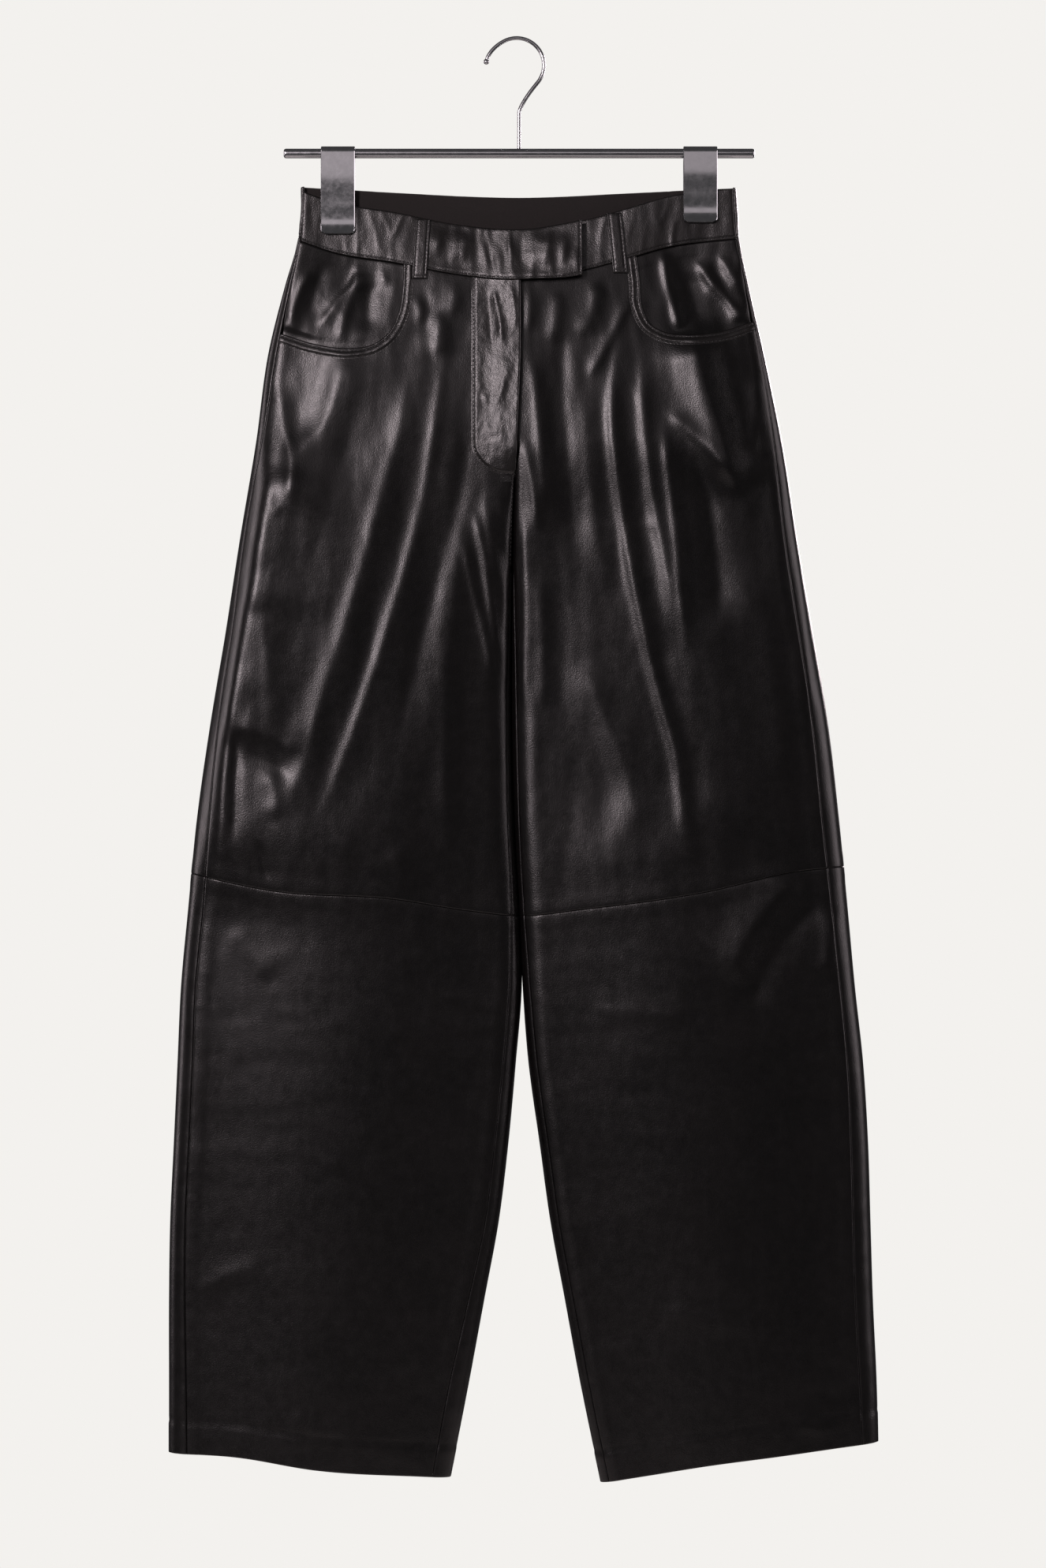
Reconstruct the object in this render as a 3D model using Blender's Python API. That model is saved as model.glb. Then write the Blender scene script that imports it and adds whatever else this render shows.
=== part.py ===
"""Leather trousers on a clip hanger: a wide-leg pair cut in panels, hanging flat.

Units are metres. +X is the wearer's left, -Y is the front and +Z is up. The
origin is the inside top of the hanger's hook, where a rail or nail carries it.

Every cloth piece is a stretch of one form. At each height a side of the
trousers is a closed section, drawn from its width, depth and cleft. The seams
run down these sections, and a panel is the wall between two of them.
"""

import math
from collections import namedtuple

import bmesh
import bpy
import numpy as np

MM = 0.001

# A place on the cloth: its side, height, run along the section, and section.
Spot = namedtuple("Spot", "side z place section")

# ---------------------------------------------------------------- cloth sizes
WALL = 1.5 * MM
FACING_WALL = 1.2 * MM
BAND_WALL = 2.4 * MM
HEM_WALL = 2.7 * MM
HEM_TURN = 26 * MM
SEAM_GAP = 0.3 * MM
LAY_GAP = 0.6 * MM
BAND_PROUD = 0.5 * MM
BAND_HEIGHT = 42 * MM
LEG_CLEARANCE = 0.4 * MM
EDGE_DEPTH_SHARE = 0.62
EDGE_DEPTH_LEAST = 5.2 * MM
EDGE_WIDTH_TO_DEPTH = 1.3
CLEFT_FILLET = 4 * MM
CLEFT_FILLET_FULL_AT = 0.3
CLEFT_FILLET_MOST = 0.8
SQUARE_BELOW_CLEFT = 0.3

# --------------------------------------------------------------- crotch sizes
CROTCH_Z = -441 * MM
SEAT_SEAM_DROP = 62 * MM
FRONT_SEAM_DROP = 38 * MM
CROTCH_DEPTH_SHARE = 0.35
INSEAM_SURFACES_Z = -640 * MM

# ---------------------------------------------------------------- the section
# Heights and places in millimetres. Outer and inner are the silhouette's edges
# of each leg. The outseam and inseam columns say how far in from that edge the
# seam lies, on the front. Depth is half the section's thickness. Cleft is 0
# where both sides run flat into each other and 1 where the leg is round.
Section = namedtuple(
    "Section",
    "z outer_right outer_left inner_right inner_left outseam_right outseam_left"
    " inseam_right inseam_left depth cleft",
)
SECTIONS = [
    Section(-110, -178, 180, 3, 3, 2.0, 1.5, 3, 3, 6, 0.00),
    Section(-165, -181, 184, 3, 3, 2.0, 1.5, 3, 3, 7, 0.00),
    Section(-204, -192, 192, 3, 3, 5.0, 2.0, 3, 3, 10, 0.00),
    Section(-256, -205, 204, 3, 3, 7.5, 3.5, 3, 3, 15, 0.00),
    Section(-334, -216, 220, 0, 0, 6.0, 8.0, 3, 3, 21, 0.05),
    Section(-412, -229, 232, -3, -3, 5.5, 11, 3, 3, 25, 0.55),
    Section(-490, -241, 245, -4, -4, 8.0, 13, 3, 3, 27, 0.93),
    Section(-568, -254, 258, -4, -4, 9.5, 14, 4, 4, 27, 1.00),
    Section(-646, -265, 267, -2, -2, 13, 15, 5, 4, 26, 1.00),
    Section(-718, -272, 274, 2, 2, 13.5, 14, 7, 4, 25, 1.00),
    Section(-783, -278, 280, 4, 5, 13, 13, 10, 6, 24.5, 1.00),
    Section(-848, -281, 287, -1, 10, 13.5, 14, 10, 7, 24, 1.00),
    Section(-913, -284, 291, -7, 19, 13.5, 15, 11, 7, 23, 1.00),
    Section(-978, -287, 293, -15, 28, 13.5, 15.5, 11, 7, 22, 1.00),
    Section(-1043, -288, 295, -27, 40, 14, 15.5, 13, 7, 21.5, 1.00),
    Section(-1108, -288, 298, -39, 52, 15, 15, 16, 7, 21, 1.00),
    Section(-1200, -288, 300, -57, 71, 16, 13, 15, 7, 20, 1.00),
]

# ------------------------------------------------- the seams that cross a leg
# Each row is one point of a seam line, in millimetres.
SeamPoint = namedtuple("SeamPoint", "x z")
FRONT_WAIST_SEAM = [
    SeamPoint(-190, -163),
    SeamPoint(-153, -176),
    SeamPoint(-101, -185),
    SeamPoint(-49, -195),
    SeamPoint(3, -199.5),
    SeamPoint(55, -191.5),
    SeamPoint(94, -181),
    SeamPoint(123, -172.5),
    SeamPoint(190, -164),
]
BACK_WAIST_SEAM = [
    SeamPoint(-190, -163),
    SeamPoint(-100, -168),
    SeamPoint(3, -172),
    SeamPoint(100, -168),
    SeamPoint(190, -164),
]
KNEE_SEAM = [
    SeamPoint(-275, -689),
    SeamPoint(-199, -704.5),
    SeamPoint(-102, -711),
    SeamPoint(-38, -721),
    SeamPoint(2, -725),
    SeamPoint(55, -719.5),
    SeamPoint(159, -704.5),
    SeamPoint(224, -689.5),
    SeamPoint(275, -684),
]
HEM_RIGHT = [
    SeamPoint(-288, -1169),
    SeamPoint(-231, -1172),
    SeamPoint(-167, -1182),
    SeamPoint(-55, -1189.5),
]
HEM_LEFT = [
    SeamPoint(69, -1194),
    SeamPoint(107, -1187.5),
    SeamPoint(159, -1178.5),
    SeamPoint(224, -1170),
    SeamPoint(300, -1160),
]
WAIST_Z = -165 * MM
TAB_DROP = 4.5 * MM
TAB_END_X = 54 * MM
TAB_RISES_FROM = -14 * MM
TAB_LIES_OVER_FROM = 2.5 * MM
UNDER_BAND_START_X = 4.5 * MM

# ------------------------------------------------------------- the scoop pocket
# The mouth's edge, from the waist seam down and round, ending at the outseam.
POCKET_MOUTH_RIGHT = [
    SeamPoint(-93, -184),
    SeamPoint(-93.5, -204),
    SeamPoint(-97, -227),
    SeamPoint(-105, -243.5),
    SeamPoint(-119, -254),
    SeamPoint(-135, -257),
    SeamPoint(-166, -253.5),
    SeamPoint(-194.5, -244.6),
]
POCKET_MOUTH_LEFT = [
    SeamPoint(98, -178),
    SeamPoint(101, -201),
    SeamPoint(103, -223),
    SeamPoint(110, -236.5),
    SeamPoint(122, -243.5),
    SeamPoint(140, -245.5),
    SeamPoint(170, -242.5),
    SeamPoint(195.5, -234.4),
]
POCKET_EDGE_WIDTH = 6 * MM
POCKET_EDGE_WALL = 1.1 * MM
POCKET_EDGE_TO_OUTSEAM = 0.5 * MM
FACING_SINK = 2.1 * MM
FACING_TUCK = 12 * MM
FACING_TO_OUTSEAM = 0.6 * MM
FACING_SUNK_ACROSS = 0.6
FACING_SINKS_DOWN_FROM = 0.2
FACING_SUNK_DOWN = 0.7
POCKET_CUT_BEYOND_X = 260 * MM
POCKET_CUT_TOP_Z = -120 * MM
POCKET_CUT_DEPTH = 60 * MM

# ------------------------------------------------------------------- the fly
FLY_WALL = 1.2 * MM
FLY_LEFT_X = -35 * MM
FLY_BOTTOM_Z = -360 * MM
FLY_ROUND_HEIGHT = 34 * MM
FLY_TOE_WIDTH = 5 * MM

# -------------------------------------------------------------- the belt loops
# A loop's middle at its top and how far its foot stands out sideways.
Loop = namedtuple("Loop", "name face x lean")
LOOPS = [
    Loop("belt_loop_1", "front", -77.5, -3),
    Loop("belt_loop_2", "front", 80.5, 5),
    Loop("belt_loop_3", "back", 98, 3),
    Loop("belt_loop_4", "back", 3, 0),
    Loop("belt_loop_5", "back", -92, -3),
]
LOOP_WIDTH = 12 * MM
LOOP_WALL = 1.6 * MM
LOOP_FOOT = 9 * MM
LOOP_TOP_MARGIN = 1 * MM
LOOP_ARCH = 1.4 * MM
LOOP_ARCH_REACH = 0.87

# ------------------------------------------------------------------ the folds
# Soft ridges (height above 0) and troughs (below 0), in millimetres. A fold
# runs from its upper end to its lower end, bowed sideways by bow at its middle.
Fold = namedtuple("Fold", "face x_top z_top x_foot z_foot bow width height")
FOLDS = [
    # the wearer's right front, from the outseam inwards
    Fold("front", -146, -262, -192, -345, 4, 9, 3.4),
    Fold("front", -190, -352, -205, -500, -3, 8, 2.6),
    Fold("front", -90, -262, -192, -640, -6, 8, 4.2),
    Fold("front", -62, -258, -172, -650, -12, 7, 3.8),
    Fold("front", -45, -380, -60, -685, 9, 8, 2.2),
    Fold("front", -30, -385, -13, -520, 3, 6, 1.8),
    Fold("front", -112, -275, -183, -560, -6, 13, -3.2),
    Fold("front", -78, -270, -140, -600, -9, 11, -3.0),
    Fold("front", -232, -580, -228, -672, 0, 8, 2.4),
    Fold("front", -215, -600, -205, -665, 0, 12, -2.2),
    Fold("front", -200, -570, -196, -650, 0, 10, 2.2),
    # the wearer's left front, from the centre outwards
    Fold("front", 14, -380, 8, -560, 0, 6, 1.6),
    Fold("front", 50, -285, 76, -500, 3, 8, 3.2),
    Fold("front", 47, -525, 94, -655, 4, 9, 2.6),
    Fold("front", 90, -240, 138, -690, -24, 8, 4.6),
    Fold("front", 99, -262, 128, -500, 3, 7, 3.2),
    Fold("front", 122, -300, 132, -460, 4, 8, 3.4),
    Fold("front", 124, -256, 178, -372, -3, 11, 3.0),
    Fold("front", 90, -215, 56, -285, 3, 6, 1.6),
    Fold("front", 66, -300, 90, -520, 0, 11, -2.8),
    Fold("front", 146, -330, 160, -560, 0, 13, -3.0),
    Fold("front", 192, -282, 194, -340, 0, 8, 1.6),
    Fold("front", 248, -705, 186, -786, 0, 12, 3.0),
    Fold("front", 250, -735, 222, -800, 0, 12, -2.6),
    # the lower legs, nearly smooth
    Fold("front", -225, -1060, -150, -1085, 4, 10, 1.3),
    Fold("front", -210, -790, -120, -800, 3, 9, 1.0),
    Fold("front", 120, -1050, 220, -1075, 4, 10, 1.2),
    # the seat and the backs of the legs
    Fold("back", -70, -250, -150, -430, -6, 12, 3.0),
    Fold("back", -120, -235, -190, -380, 5, 11, 3.2),
    Fold("back", -30, -330, -100, -440, -8, 12, 3.4),
    Fold("back", -25, -410, -120, -480, -8, 11, -2.8),
    Fold("back", -60, -480, -110, -680, 5, 11, 2.6),
    Fold("back", -165, -430, -205, -660, 5, 11, 3.0),
    Fold("back", 70, -240, 140, -420, 6, 12, 3.2),
    Fold("back", 120, -250, 185, -400, -5, 11, 2.8),
    Fold("back", 28, -340, 95, -450, 8, 12, 3.2),
    Fold("back", 22, -420, 115, -490, 8, 11, -2.8),
    Fold("back", 60, -490, 100, -670, -5, 11, 2.4),
    Fold("back", 160, -440, 200, -650, -5, 11, 2.8),
    Fold("back", -230, -740, -120, -775, 6, 12, 2.2),
    Fold("back", 230, -735, 125, -770, -6, 12, 2.2),
    Fold("back", -200, -900, -110, -925, 5, 13, 1.6),
    Fold("back", 205, -910, 120, -930, -5, 13, 1.6),
]
FOLD_FADE_IN = 0.22
FOLD_FADE_OUT = 0.30

# ------------------------------------------------------------------ the grids
UPPER_ROWS_TO_CROTCH = 12
UPPER_ROWS_TO_KNEE = 12
LOWER_ROWS = 9
HEM_ROWS = 1
FRONT_UPPER_COLUMNS = (23,)
BACK_UPPER_COLUMNS = (2, 14, 3)
FRONT_LOWER_COLUMNS = (12,)
BACK_LOWER_COLUMNS = (2, 11, 3)
BAND_COLUMNS = 15
TAB_BAND_COLUMNS = 22
BAND_ROWS = 2
MOUTH_STEPS = 22
FACING_ROWS = 7
FACING_COLUMNS = 8
FLY_ROWS = 12
FLY_COLUMNS = 3
LOOP_ROWS = 7
CROWD_TO_SEAMS = 0.45
LEAST_INNER_RUN_SHARE = 0.04
EDGE_STEPS = 20
FLAT_STEPS = 14
WALL_STEPS = 12
NORMAL_STEP = 0.4 * MM
SETTLING_PASSES = 4
FIRST_X = 150 * MM
SHARP_ANGLE = math.radians(50)

# ----------------------------------------------------------------- the hanger
HANGER_X = 2 * MM
HOOK_WIRE_R = 1.6 * MM
HOOK_R = 22.5 * MM
HOOK_TIP_ANGLE = math.radians(168)
HOOK_NECK_ANGLE = math.radians(-38)
HOOK_TIP_SPREAD = 0.12
HOOK_SPREADS_FROM = math.radians(110)
HOOK_SPREAD_TURN = math.radians(60)
HOOK_TIP_BALL_R = 2.4 * MM
HOOK_TIP_BALL_FLAT = 2.35 * MM
HOOK_BEND_Z = -60 * MM
HOOK_LEAN_BOW = 1.35
HOOK_STEPS = 24
HOOK_LEAN_STEPS = 7
HOOK_BALL_STEPS = 6
BAR_Z = -94 * MM
BAR_R = 4 * MM
BAR_LENGTH = 390 * MM
CLIP_X_FROM_CENTRE = 150 * MM
CLIP_WIDTH = 28 * MM
CLIP_WALL = 1.6 * MM
CLIP_GAP = 0.3 * MM
CLIP_GRIP_DEPTH = 20 * MM
CLIP_LIP_FLARE = 2.5 * MM
CLIP_LIP_HEIGHT = 6 * MM
CLIP_SHOULDER_DROP = 2 * MM
CLIP_BELLY = 1 * MM
CLIP_BEND_STEPS = 12
PINCH_DEPTH_AT_CLIP = 3.2 * MM
PINCH_HALF_WIDTH = 40 * MM
PINCH_FADES_BY_Z = -262 * MM
PINCH_FADE_HEIGHT = 110 * MM


# ------------------------------------------------------------------ materials
def srgb_to_linear(value):
    if value <= 0.04045:
        return value / 12.92
    return ((value + 0.055) / 1.055) ** 2.4


def material(name, hex_colour, roughness, metallic=0.0):
    made = bpy.data.materials.new(name)
    made.use_nodes = True
    shader = made.node_tree.nodes["Principled BSDF"]
    parts = [int(hex_colour[i : i + 2], 16) / 255 for i in (0, 2, 4)]
    colour = [srgb_to_linear(part) for part in parts] + [1.0]
    shader.inputs["Base Color"].default_value = colour
    shader.inputs["Roughness"].default_value = roughness
    shader.inputs["Metallic"].default_value = metallic
    made.diffuse_color = colour
    return made


# --------------------------------------------------------------- small helpers
def smooth_curve(places, values):
    """A cubic curve through the points, as a function of place."""
    places = np.asarray(places, float)
    values = np.asarray(values, float)
    order = np.argsort(places)
    places = places[order]
    values = values[order]
    slopes = np.gradient(values, places)

    def at(place):
        place = min(max(place, places[0]), places[-1])
        i = int(min(max(np.searchsorted(places, place) - 1, 0), len(places) - 2))
        span = places[i + 1] - places[i]
        t = (place - places[i]) / span
        rise_start = slopes[i] * span
        rise_end = slopes[i + 1] * span
        return (
            (2 * t**3 - 3 * t**2 + 1) * values[i]
            + (t**3 - 2 * t**2 + t) * rise_start
            + (3 * t**2 - 2 * t**3) * values[i + 1]
            + (t**3 - t**2) * rise_end
        )

    return at


def seam_line(points):
    return smooth_curve([p.x * MM for p in points], [p.z * MM for p in points])


def smoothstep(t):
    t = min(max(t, 0.0), 1.0)
    return t * t * (3 - 2 * t)


def lerp(start, end, t):
    return start + (end - start) * t


def column_curve(column):
    heights = [row.z * MM for row in SECTIONS]
    scale = 1.0 if column == "cleft" else MM
    return smooth_curve(heights, [getattr(row, column) * scale for row in SECTIONS])


DEPTH_AT = column_curve("depth")
CLEFT_AT = column_curve("cleft")


class Side:
    """One half of the trousers: the edges of its leg and its seams' offsets."""

    def __init__(self, name, sign, mouth):
        self.name = name
        self.sign = sign
        self.mouth = mouth
        self.outer = column_curve("outer_" + name)
        self.inner_edge = column_curve("inner_" + name)
        self.outseam_inset = column_curve("outseam_" + name)
        self.inseam_inset = column_curve("inseam_" + name)

    def inner(self, z):
        return self.inner_edge(z) + self.sign * LEG_CLEARANCE


RIGHT = Side("right", -1, POCKET_MOUTH_RIGHT)
LEFT = Side("left", 1, POCKET_MOUTH_LEFT)
SIDES = (RIGHT, LEFT)

front_waist = seam_line(FRONT_WAIST_SEAM)
back_waist = seam_line(BACK_WAIST_SEAM)
knee = seam_line(KNEE_SEAM)
hem = {RIGHT: seam_line(HEM_RIGHT), LEFT: seam_line(HEM_LEFT)}


# ------------------------------------------------------------------- the relief
def fold_height(fold, x, z):
    """The fold's height at a place on the front or back, in metres."""
    run_x = (fold.x_foot - fold.x_top) * MM
    run_z = (fold.z_foot - fold.z_top) * MM
    length = math.hypot(run_x, run_z)
    dx = x - fold.x_top * MM
    dz = z - fold.z_top * MM
    along = (dx * run_x + dz * run_z) / length**2
    if not 0 < along < 1:
        return 0.0
    bowed = fold.bow * MM * 4 * along * (1 - along)
    across = (dz * run_x - dx * run_z) / length - bowed
    fade = smoothstep(along / FOLD_FADE_IN) * smoothstep((1 - along) / FOLD_FADE_OUT)
    return fold.height * MM * fade * math.exp(-((across / (fold.width * MM)) ** 2))


def pinch(x, z):
    """How far the clips press the waist in from each face."""
    strength = 0.0
    for sign in (-1, 1):
        clip_x = HANGER_X + sign * CLIP_X_FROM_CENTRE
        strength += math.exp(-(((x - clip_x) / PINCH_HALF_WIDTH) ** 2))
    return strength * smoothstep((z - PINCH_FADES_BY_Z) / PINCH_FADE_HEIGHT)


def relief(face, x, z):
    return sum(fold_height(fold, x, z) for fold in FOLDS if fold.face == face)


# ------------------------------------------------------------------ the section
def edge_profile(depth, half):
    """Half the section's thickness, from its outer edge to its middle.

    A rounded edge runs into a slow crown. Returns the distances from the edge
    and the half thickness at each.
    """
    edge = min(depth, max(EDGE_DEPTH_SHARE * depth, EDGE_DEPTH_LEAST))
    width = edge * EDGE_WIDTH_TO_DEPTH
    turn = np.linspace(0, math.pi / 2, EDGE_STEPS)
    flat = np.linspace(width, half, FLAT_STEPS)[1:]
    distance = np.concatenate([width * (1 - np.cos(turn)), flat])
    rounded = np.concatenate([edge * np.sin(turn), np.full(len(flat), edge)])
    crown = (depth - edge) * np.sin(math.pi / 2 * distance / half) ** 2
    return distance, rounded + crown


def ring(side, z):
    """One side's closed section at height z, with the places of its seams.

    The points start at the outer edge and run over the front, down the inner
    edge and back over the back. Returns the points, the length run to each and
    the marks: front corner, back corner, outseam, inseam and the whole length.
    """
    outer = side.outer(z)
    inner = side.inner(z)
    half = abs(inner - outer) / 2
    depth = DEPTH_AT(z)
    cleft = min(max(CLEFT_AT(z), 0.0), 1.0)

    distance, thick = edge_profile(depth, half)
    inner_thick = lerp(depth, thick, cleft)
    grown = smoothstep(cleft / CLEFT_FILLET_FULL_AT)
    fillet = min(CLEFT_FILLET * grown, CLEFT_FILLET_MOST * inner_thick[0])
    if fillet > 0:
        short = 1 - np.minimum(distance / fillet, 1.0)
        inner_thick = inner_thick - fillet * (1 - np.sqrt(1 - short**2))

    front_x = np.concatenate(
        [outer - side.sign * distance, inner + side.sign * distance[-2::-1]]
    )
    front_y = -np.concatenate([thick, inner_thick[-2::-1]])
    wall_y = np.linspace(front_y[-1], -front_y[-1], WALL_STEPS)[1:-1]
    x = np.concatenate([front_x, np.full(len(wall_y), inner), front_x[::-1]])
    y = np.concatenate([front_y, wall_y, -front_y[::-1]])
    run = np.concatenate([[0.0], np.cumsum(np.hypot(np.diff(x), np.diff(y)))])

    last_front = len(front_x) - 1
    first_back = last_front + len(wall_y) + 1
    outseam = np.interp(side.outseam_inset(z), distance, run[: len(distance)])
    surfaced = np.interp(side.inseam_inset(z), distance, thick) / depth
    emerge = smoothstep((CROTCH_Z - z) / (CROTCH_Z - INSEAM_SURFACES_Z))
    share = lerp(CROTCH_DEPTH_SHARE, surfaced, emerge)
    inner_stretch = slice(len(distance), first_back)
    inseam = np.interp(-depth * share, y[inner_stretch], run[inner_stretch])
    marks = {
        "front_corner": run[last_front],
        "back_corner": run[first_back],
        "outseam": outseam,
        "inseam": inseam,
        "whole": run[-1],
        "square": cleft < SQUARE_BELOW_CLEFT,
    }
    return x, y, run, marks


def front_inner_mark(marks, z):
    """Where the front panel ends: the centre seam, then round to the inseam."""
    if z <= CROTCH_Z:
        return marks["inseam"]
    fallen = 1 - min(max((z - CROTCH_Z) / FRONT_SEAM_DROP, 0.0), 1.0)
    return lerp(marks["front_corner"], marks["inseam"], 1 - math.sqrt(1 - fallen**2))


def back_inner_mark(marks, z):
    """Where the back panel starts: the seat seam, then forward to the inseam."""
    if z <= CROTCH_Z:
        return marks["inseam"]
    fallen = 1 - min(max((z - CROTCH_Z) / SEAT_SEAM_DROP, 0.0), 1.0)
    return lerp(marks["back_corner"], marks["inseam"], 1 - math.sqrt(1 - fallen**2))


def spot_point(spot, out):
    """The point at a spot, moved out along the section's normal."""
    side, z, place, section = spot
    xs, ys, run, marks = section
    place = place % marks["whole"]
    x = np.interp(place, run, xs)
    y = np.interp(place, run, ys)
    before = (place - NORMAL_STEP) % marks["whole"]
    after = (place + NORMAL_STEP) % marks["whole"]
    if marks["square"] and place <= marks["front_corner"]:
        after = min(after, marks["front_corner"])
    if marks["square"] and place >= marks["back_corner"]:
        before = max(before, marks["back_corner"])
    tangent_x = np.interp(after, run, xs) - np.interp(before, run, xs)
    tangent_y = np.interp(after, run, ys) - np.interp(before, run, ys)
    length = math.hypot(tangent_x, tangent_y)
    normal_x = -side.sign * tangent_y / length
    normal_y = side.sign * tangent_x / length
    facing = normal_y**2
    rise = relief("front" if y < 0 else "back", x, z) * facing
    deep = max(abs(y) - PINCH_DEPTH_AT_CLIP, 0.0)
    rise -= deep * pinch(x, z) * facing
    return (x + normal_x * (out + rise), y + normal_y * (out + rise), z)


def face_spot(face, x, z):
    """The spot on the front or back that lies at x and z."""
    side = RIGHT if x <= RIGHT.inner_edge(z) else LEFT
    section = ring(side, z)
    xs, _, run, _ = section
    count = 2 * (EDGE_STEPS + FLAT_STEPS - 1) - 1
    if face == "front":
        stretch = slice(0, count)
    else:
        stretch = slice(len(xs) - 1, len(xs) - 1 - count, -1)
    inwards = -side.sign
    place = np.interp(inwards * x, inwards * xs[stretch], run[stretch])
    return Spot(side, z, place, section)


def face_point(face, x, z, out):
    return spot_point(face_spot(face, x, z), out)


# ------------------------------------------------------------- building meshes
def sheet_object(name, spots, outs, wall, skin, collection, hem_rows=0):
    """A closed cloth piece over a grid of spots.

    Each spot's outer and inner point lie on the section's own normal, so the
    edges of two pieces that meet at a seam stay parallel. The piece is open
    sheet outside, the same inside, and a rim between them.
    """
    mesh = bmesh.new()
    outer = []
    inner = []
    for number, row in enumerate(spots):
        turned = number >= len(spots) - hem_rows
        depth = HEM_WALL if turned else wall
        lifts = outs[number]
        outer.append([spot_point(s, o) for s, o in zip(row, lifts)])
        inner.append([spot_point(s, o - depth) for s, o in zip(row, lifts)])
    outer = [[mesh.verts.new(p) for p in row] for row in outer]
    inner = [[mesh.verts.new(p) for p in row] for row in inner]
    for grid, order in ((outer, 1), (inner, -1)):
        for upper, lower in zip(grid, grid[1:]):
            for i in range(len(upper) - 1):
                corners = (upper[i], lower[i], lower[i + 1], upper[i + 1])
                mesh.faces.new(corners[::order])
    for near, far in zip(rim_of(outer), rim_of(inner)):
        mesh.faces.new((near[1], near[0], far[0], far[1]))
    bmesh.ops.recalc_face_normals(mesh, faces=mesh.faces)
    data = bpy.data.meshes.new(name)
    mesh.to_mesh(data)
    mesh.free()
    data.materials.append(skin)
    made = bpy.data.objects.new(name, data)
    collection.objects.link(made)
    data.polygons.foreach_set("use_smooth", [True] * len(data.polygons))
    data.set_sharp_from_angle(angle=SHARP_ANGLE)
    return made


def rim_of(grid):
    """The edges round a grid, in order."""
    down = [row[0] for row in grid]
    across = list(grid[-1])
    up = [row[-1] for row in grid][::-1]
    back = list(grid[0])[::-1]
    loop = down + across[1:] + up[1:] + back[1:]
    return list(zip(loop, loop[1:]))


def level_outs(spots, out):
    return [[out] * len(row) for row in spots]


def panel_spots(side, runs_of, line_sets, columns):
    """The grid of spots of a leg panel.

    runs_of gives the places that the columns are spread between, and columns
    how many go into each of those runs. line_sets gives (top line, foot line,
    rows): each line is a height as a function of x, and the rows are spread
    evenly between them.
    """
    shares = []
    for run, count in enumerate(columns):
        for step in range(count + (run == len(columns) - 1)):
            even = step / count
            eased = (1 - math.cos(math.pi * even)) / 2
            shares.append((run, lerp(even, eased, CROWD_TO_SEAMS)))
    grid = []
    for number, (top, foot, count) in enumerate(line_sets):
        for step in range(0 if number == 0 else 1, count + 1):
            down = step / count
            grid.append(
                [panel_spot(side, runs_of, top, foot, down, s) for s in shares]
            )
    return grid


def panel_spot(side, runs_of, top, foot, down, share):
    x = side.sign * FIRST_X
    run, across = share
    for _ in range(SETTLING_PASSES):
        z = lerp(top(x), foot(x), down)
        section = ring(side, z)
        marks = section[3]
        ends = runs_of(marks, z)
        place = lerp(ends[run], ends[run + 1], across)
        x = np.interp(place % marks["whole"], section[2], section[0])
    return Spot(side, z, place, section)


def front_runs(marks, z):
    """From the outseam to the centre seam or inseam."""
    start = marks["outseam"] + SEAM_GAP / 2
    return (start, front_inner_mark(marks, z) - SEAM_GAP / 2)


def back_runs(marks, z):
    """From the seat seam or inseam to the inner edge, the outer edge, the outseam."""
    start = back_inner_mark(marks, z) + SEAM_GAP / 2
    end = marks["whole"] + marks["outseam"] - SEAM_GAP / 2
    least = lerp(start, marks["whole"], LEAST_INNER_RUN_SHARE)
    return (start, max(marks["front_corner"], least), marks["whole"], end)


def lowered(line, by):
    return lambda x: line(x) - by


def level(z):
    return lambda x: z


# ------------------------------------------------------------------ the panels
def leg_panels(skins, collection):
    for side in SIDES:
        for back in (False, True):
            upper_panel(side, back, skins, collection)
            lower_panel(side, back, skins, collection)


def upper_panel(side, back, skins, collection):
    """Waist to knee. The crotch lies on a row of its own."""
    face = "back" if back else "front"
    waist = back_waist if back else front_waist
    to_crotch = (lowered(waist, SEAM_GAP / 2), level(CROTCH_Z), UPPER_ROWS_TO_CROTCH)
    to_knee = (level(CROTCH_Z), lowered(knee, -SEAM_GAP / 2), UPPER_ROWS_TO_KNEE)
    runs_of = back_runs if back else front_runs
    columns = BACK_UPPER_COLUMNS if back else FRONT_UPPER_COLUMNS
    spots = panel_spots(side, runs_of, [to_crotch, to_knee], columns)
    name = f"{face}_upper_{side.name}"
    outs = level_outs(spots, 0.0)
    panel = sheet_object(name, spots, outs, WALL, skins[face], collection)
    if not back:
        cut_pocket_mouth(panel, side)


def lower_panel(side, back, skins, collection):
    """Knee to hem, doubled inside where the hem is turned up."""
    face = "back" if back else "front"
    hem_top = lowered(hem[side], -HEM_TURN)
    to_hem = (lowered(knee, SEAM_GAP / 2), hem_top, LOWER_ROWS)
    turn = (hem_top, hem[side], HEM_ROWS)
    runs_of = back_runs if back else front_runs
    columns = BACK_LOWER_COLUMNS if back else FRONT_LOWER_COLUMNS
    spots = panel_spots(side, runs_of, [to_hem, turn], columns)
    name = f"{face}_lower_{side.name}"
    outs = level_outs(spots, 0.0)
    sheet_object(name, spots, outs, WALL, skins[face], collection, HEM_ROWS + 1)


# ----------------------------------------------------------------- the pockets
def mouth_curve(side, count):
    """Points along the pocket's mouth, evenly spread by length."""
    points = np.array([(p.x * MM, p.z * MM) for p in side.mouth])
    steps = np.diff(points, axis=0)
    along = np.concatenate([[0.0], np.cumsum(np.hypot(steps[:, 0], steps[:, 1]))])
    x_at = smooth_curve(along, points[:, 0])
    z_at = smooth_curve(along, points[:, 1])
    return [(x_at(s), z_at(s)) for s in np.linspace(0, along[-1], count)]


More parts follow.
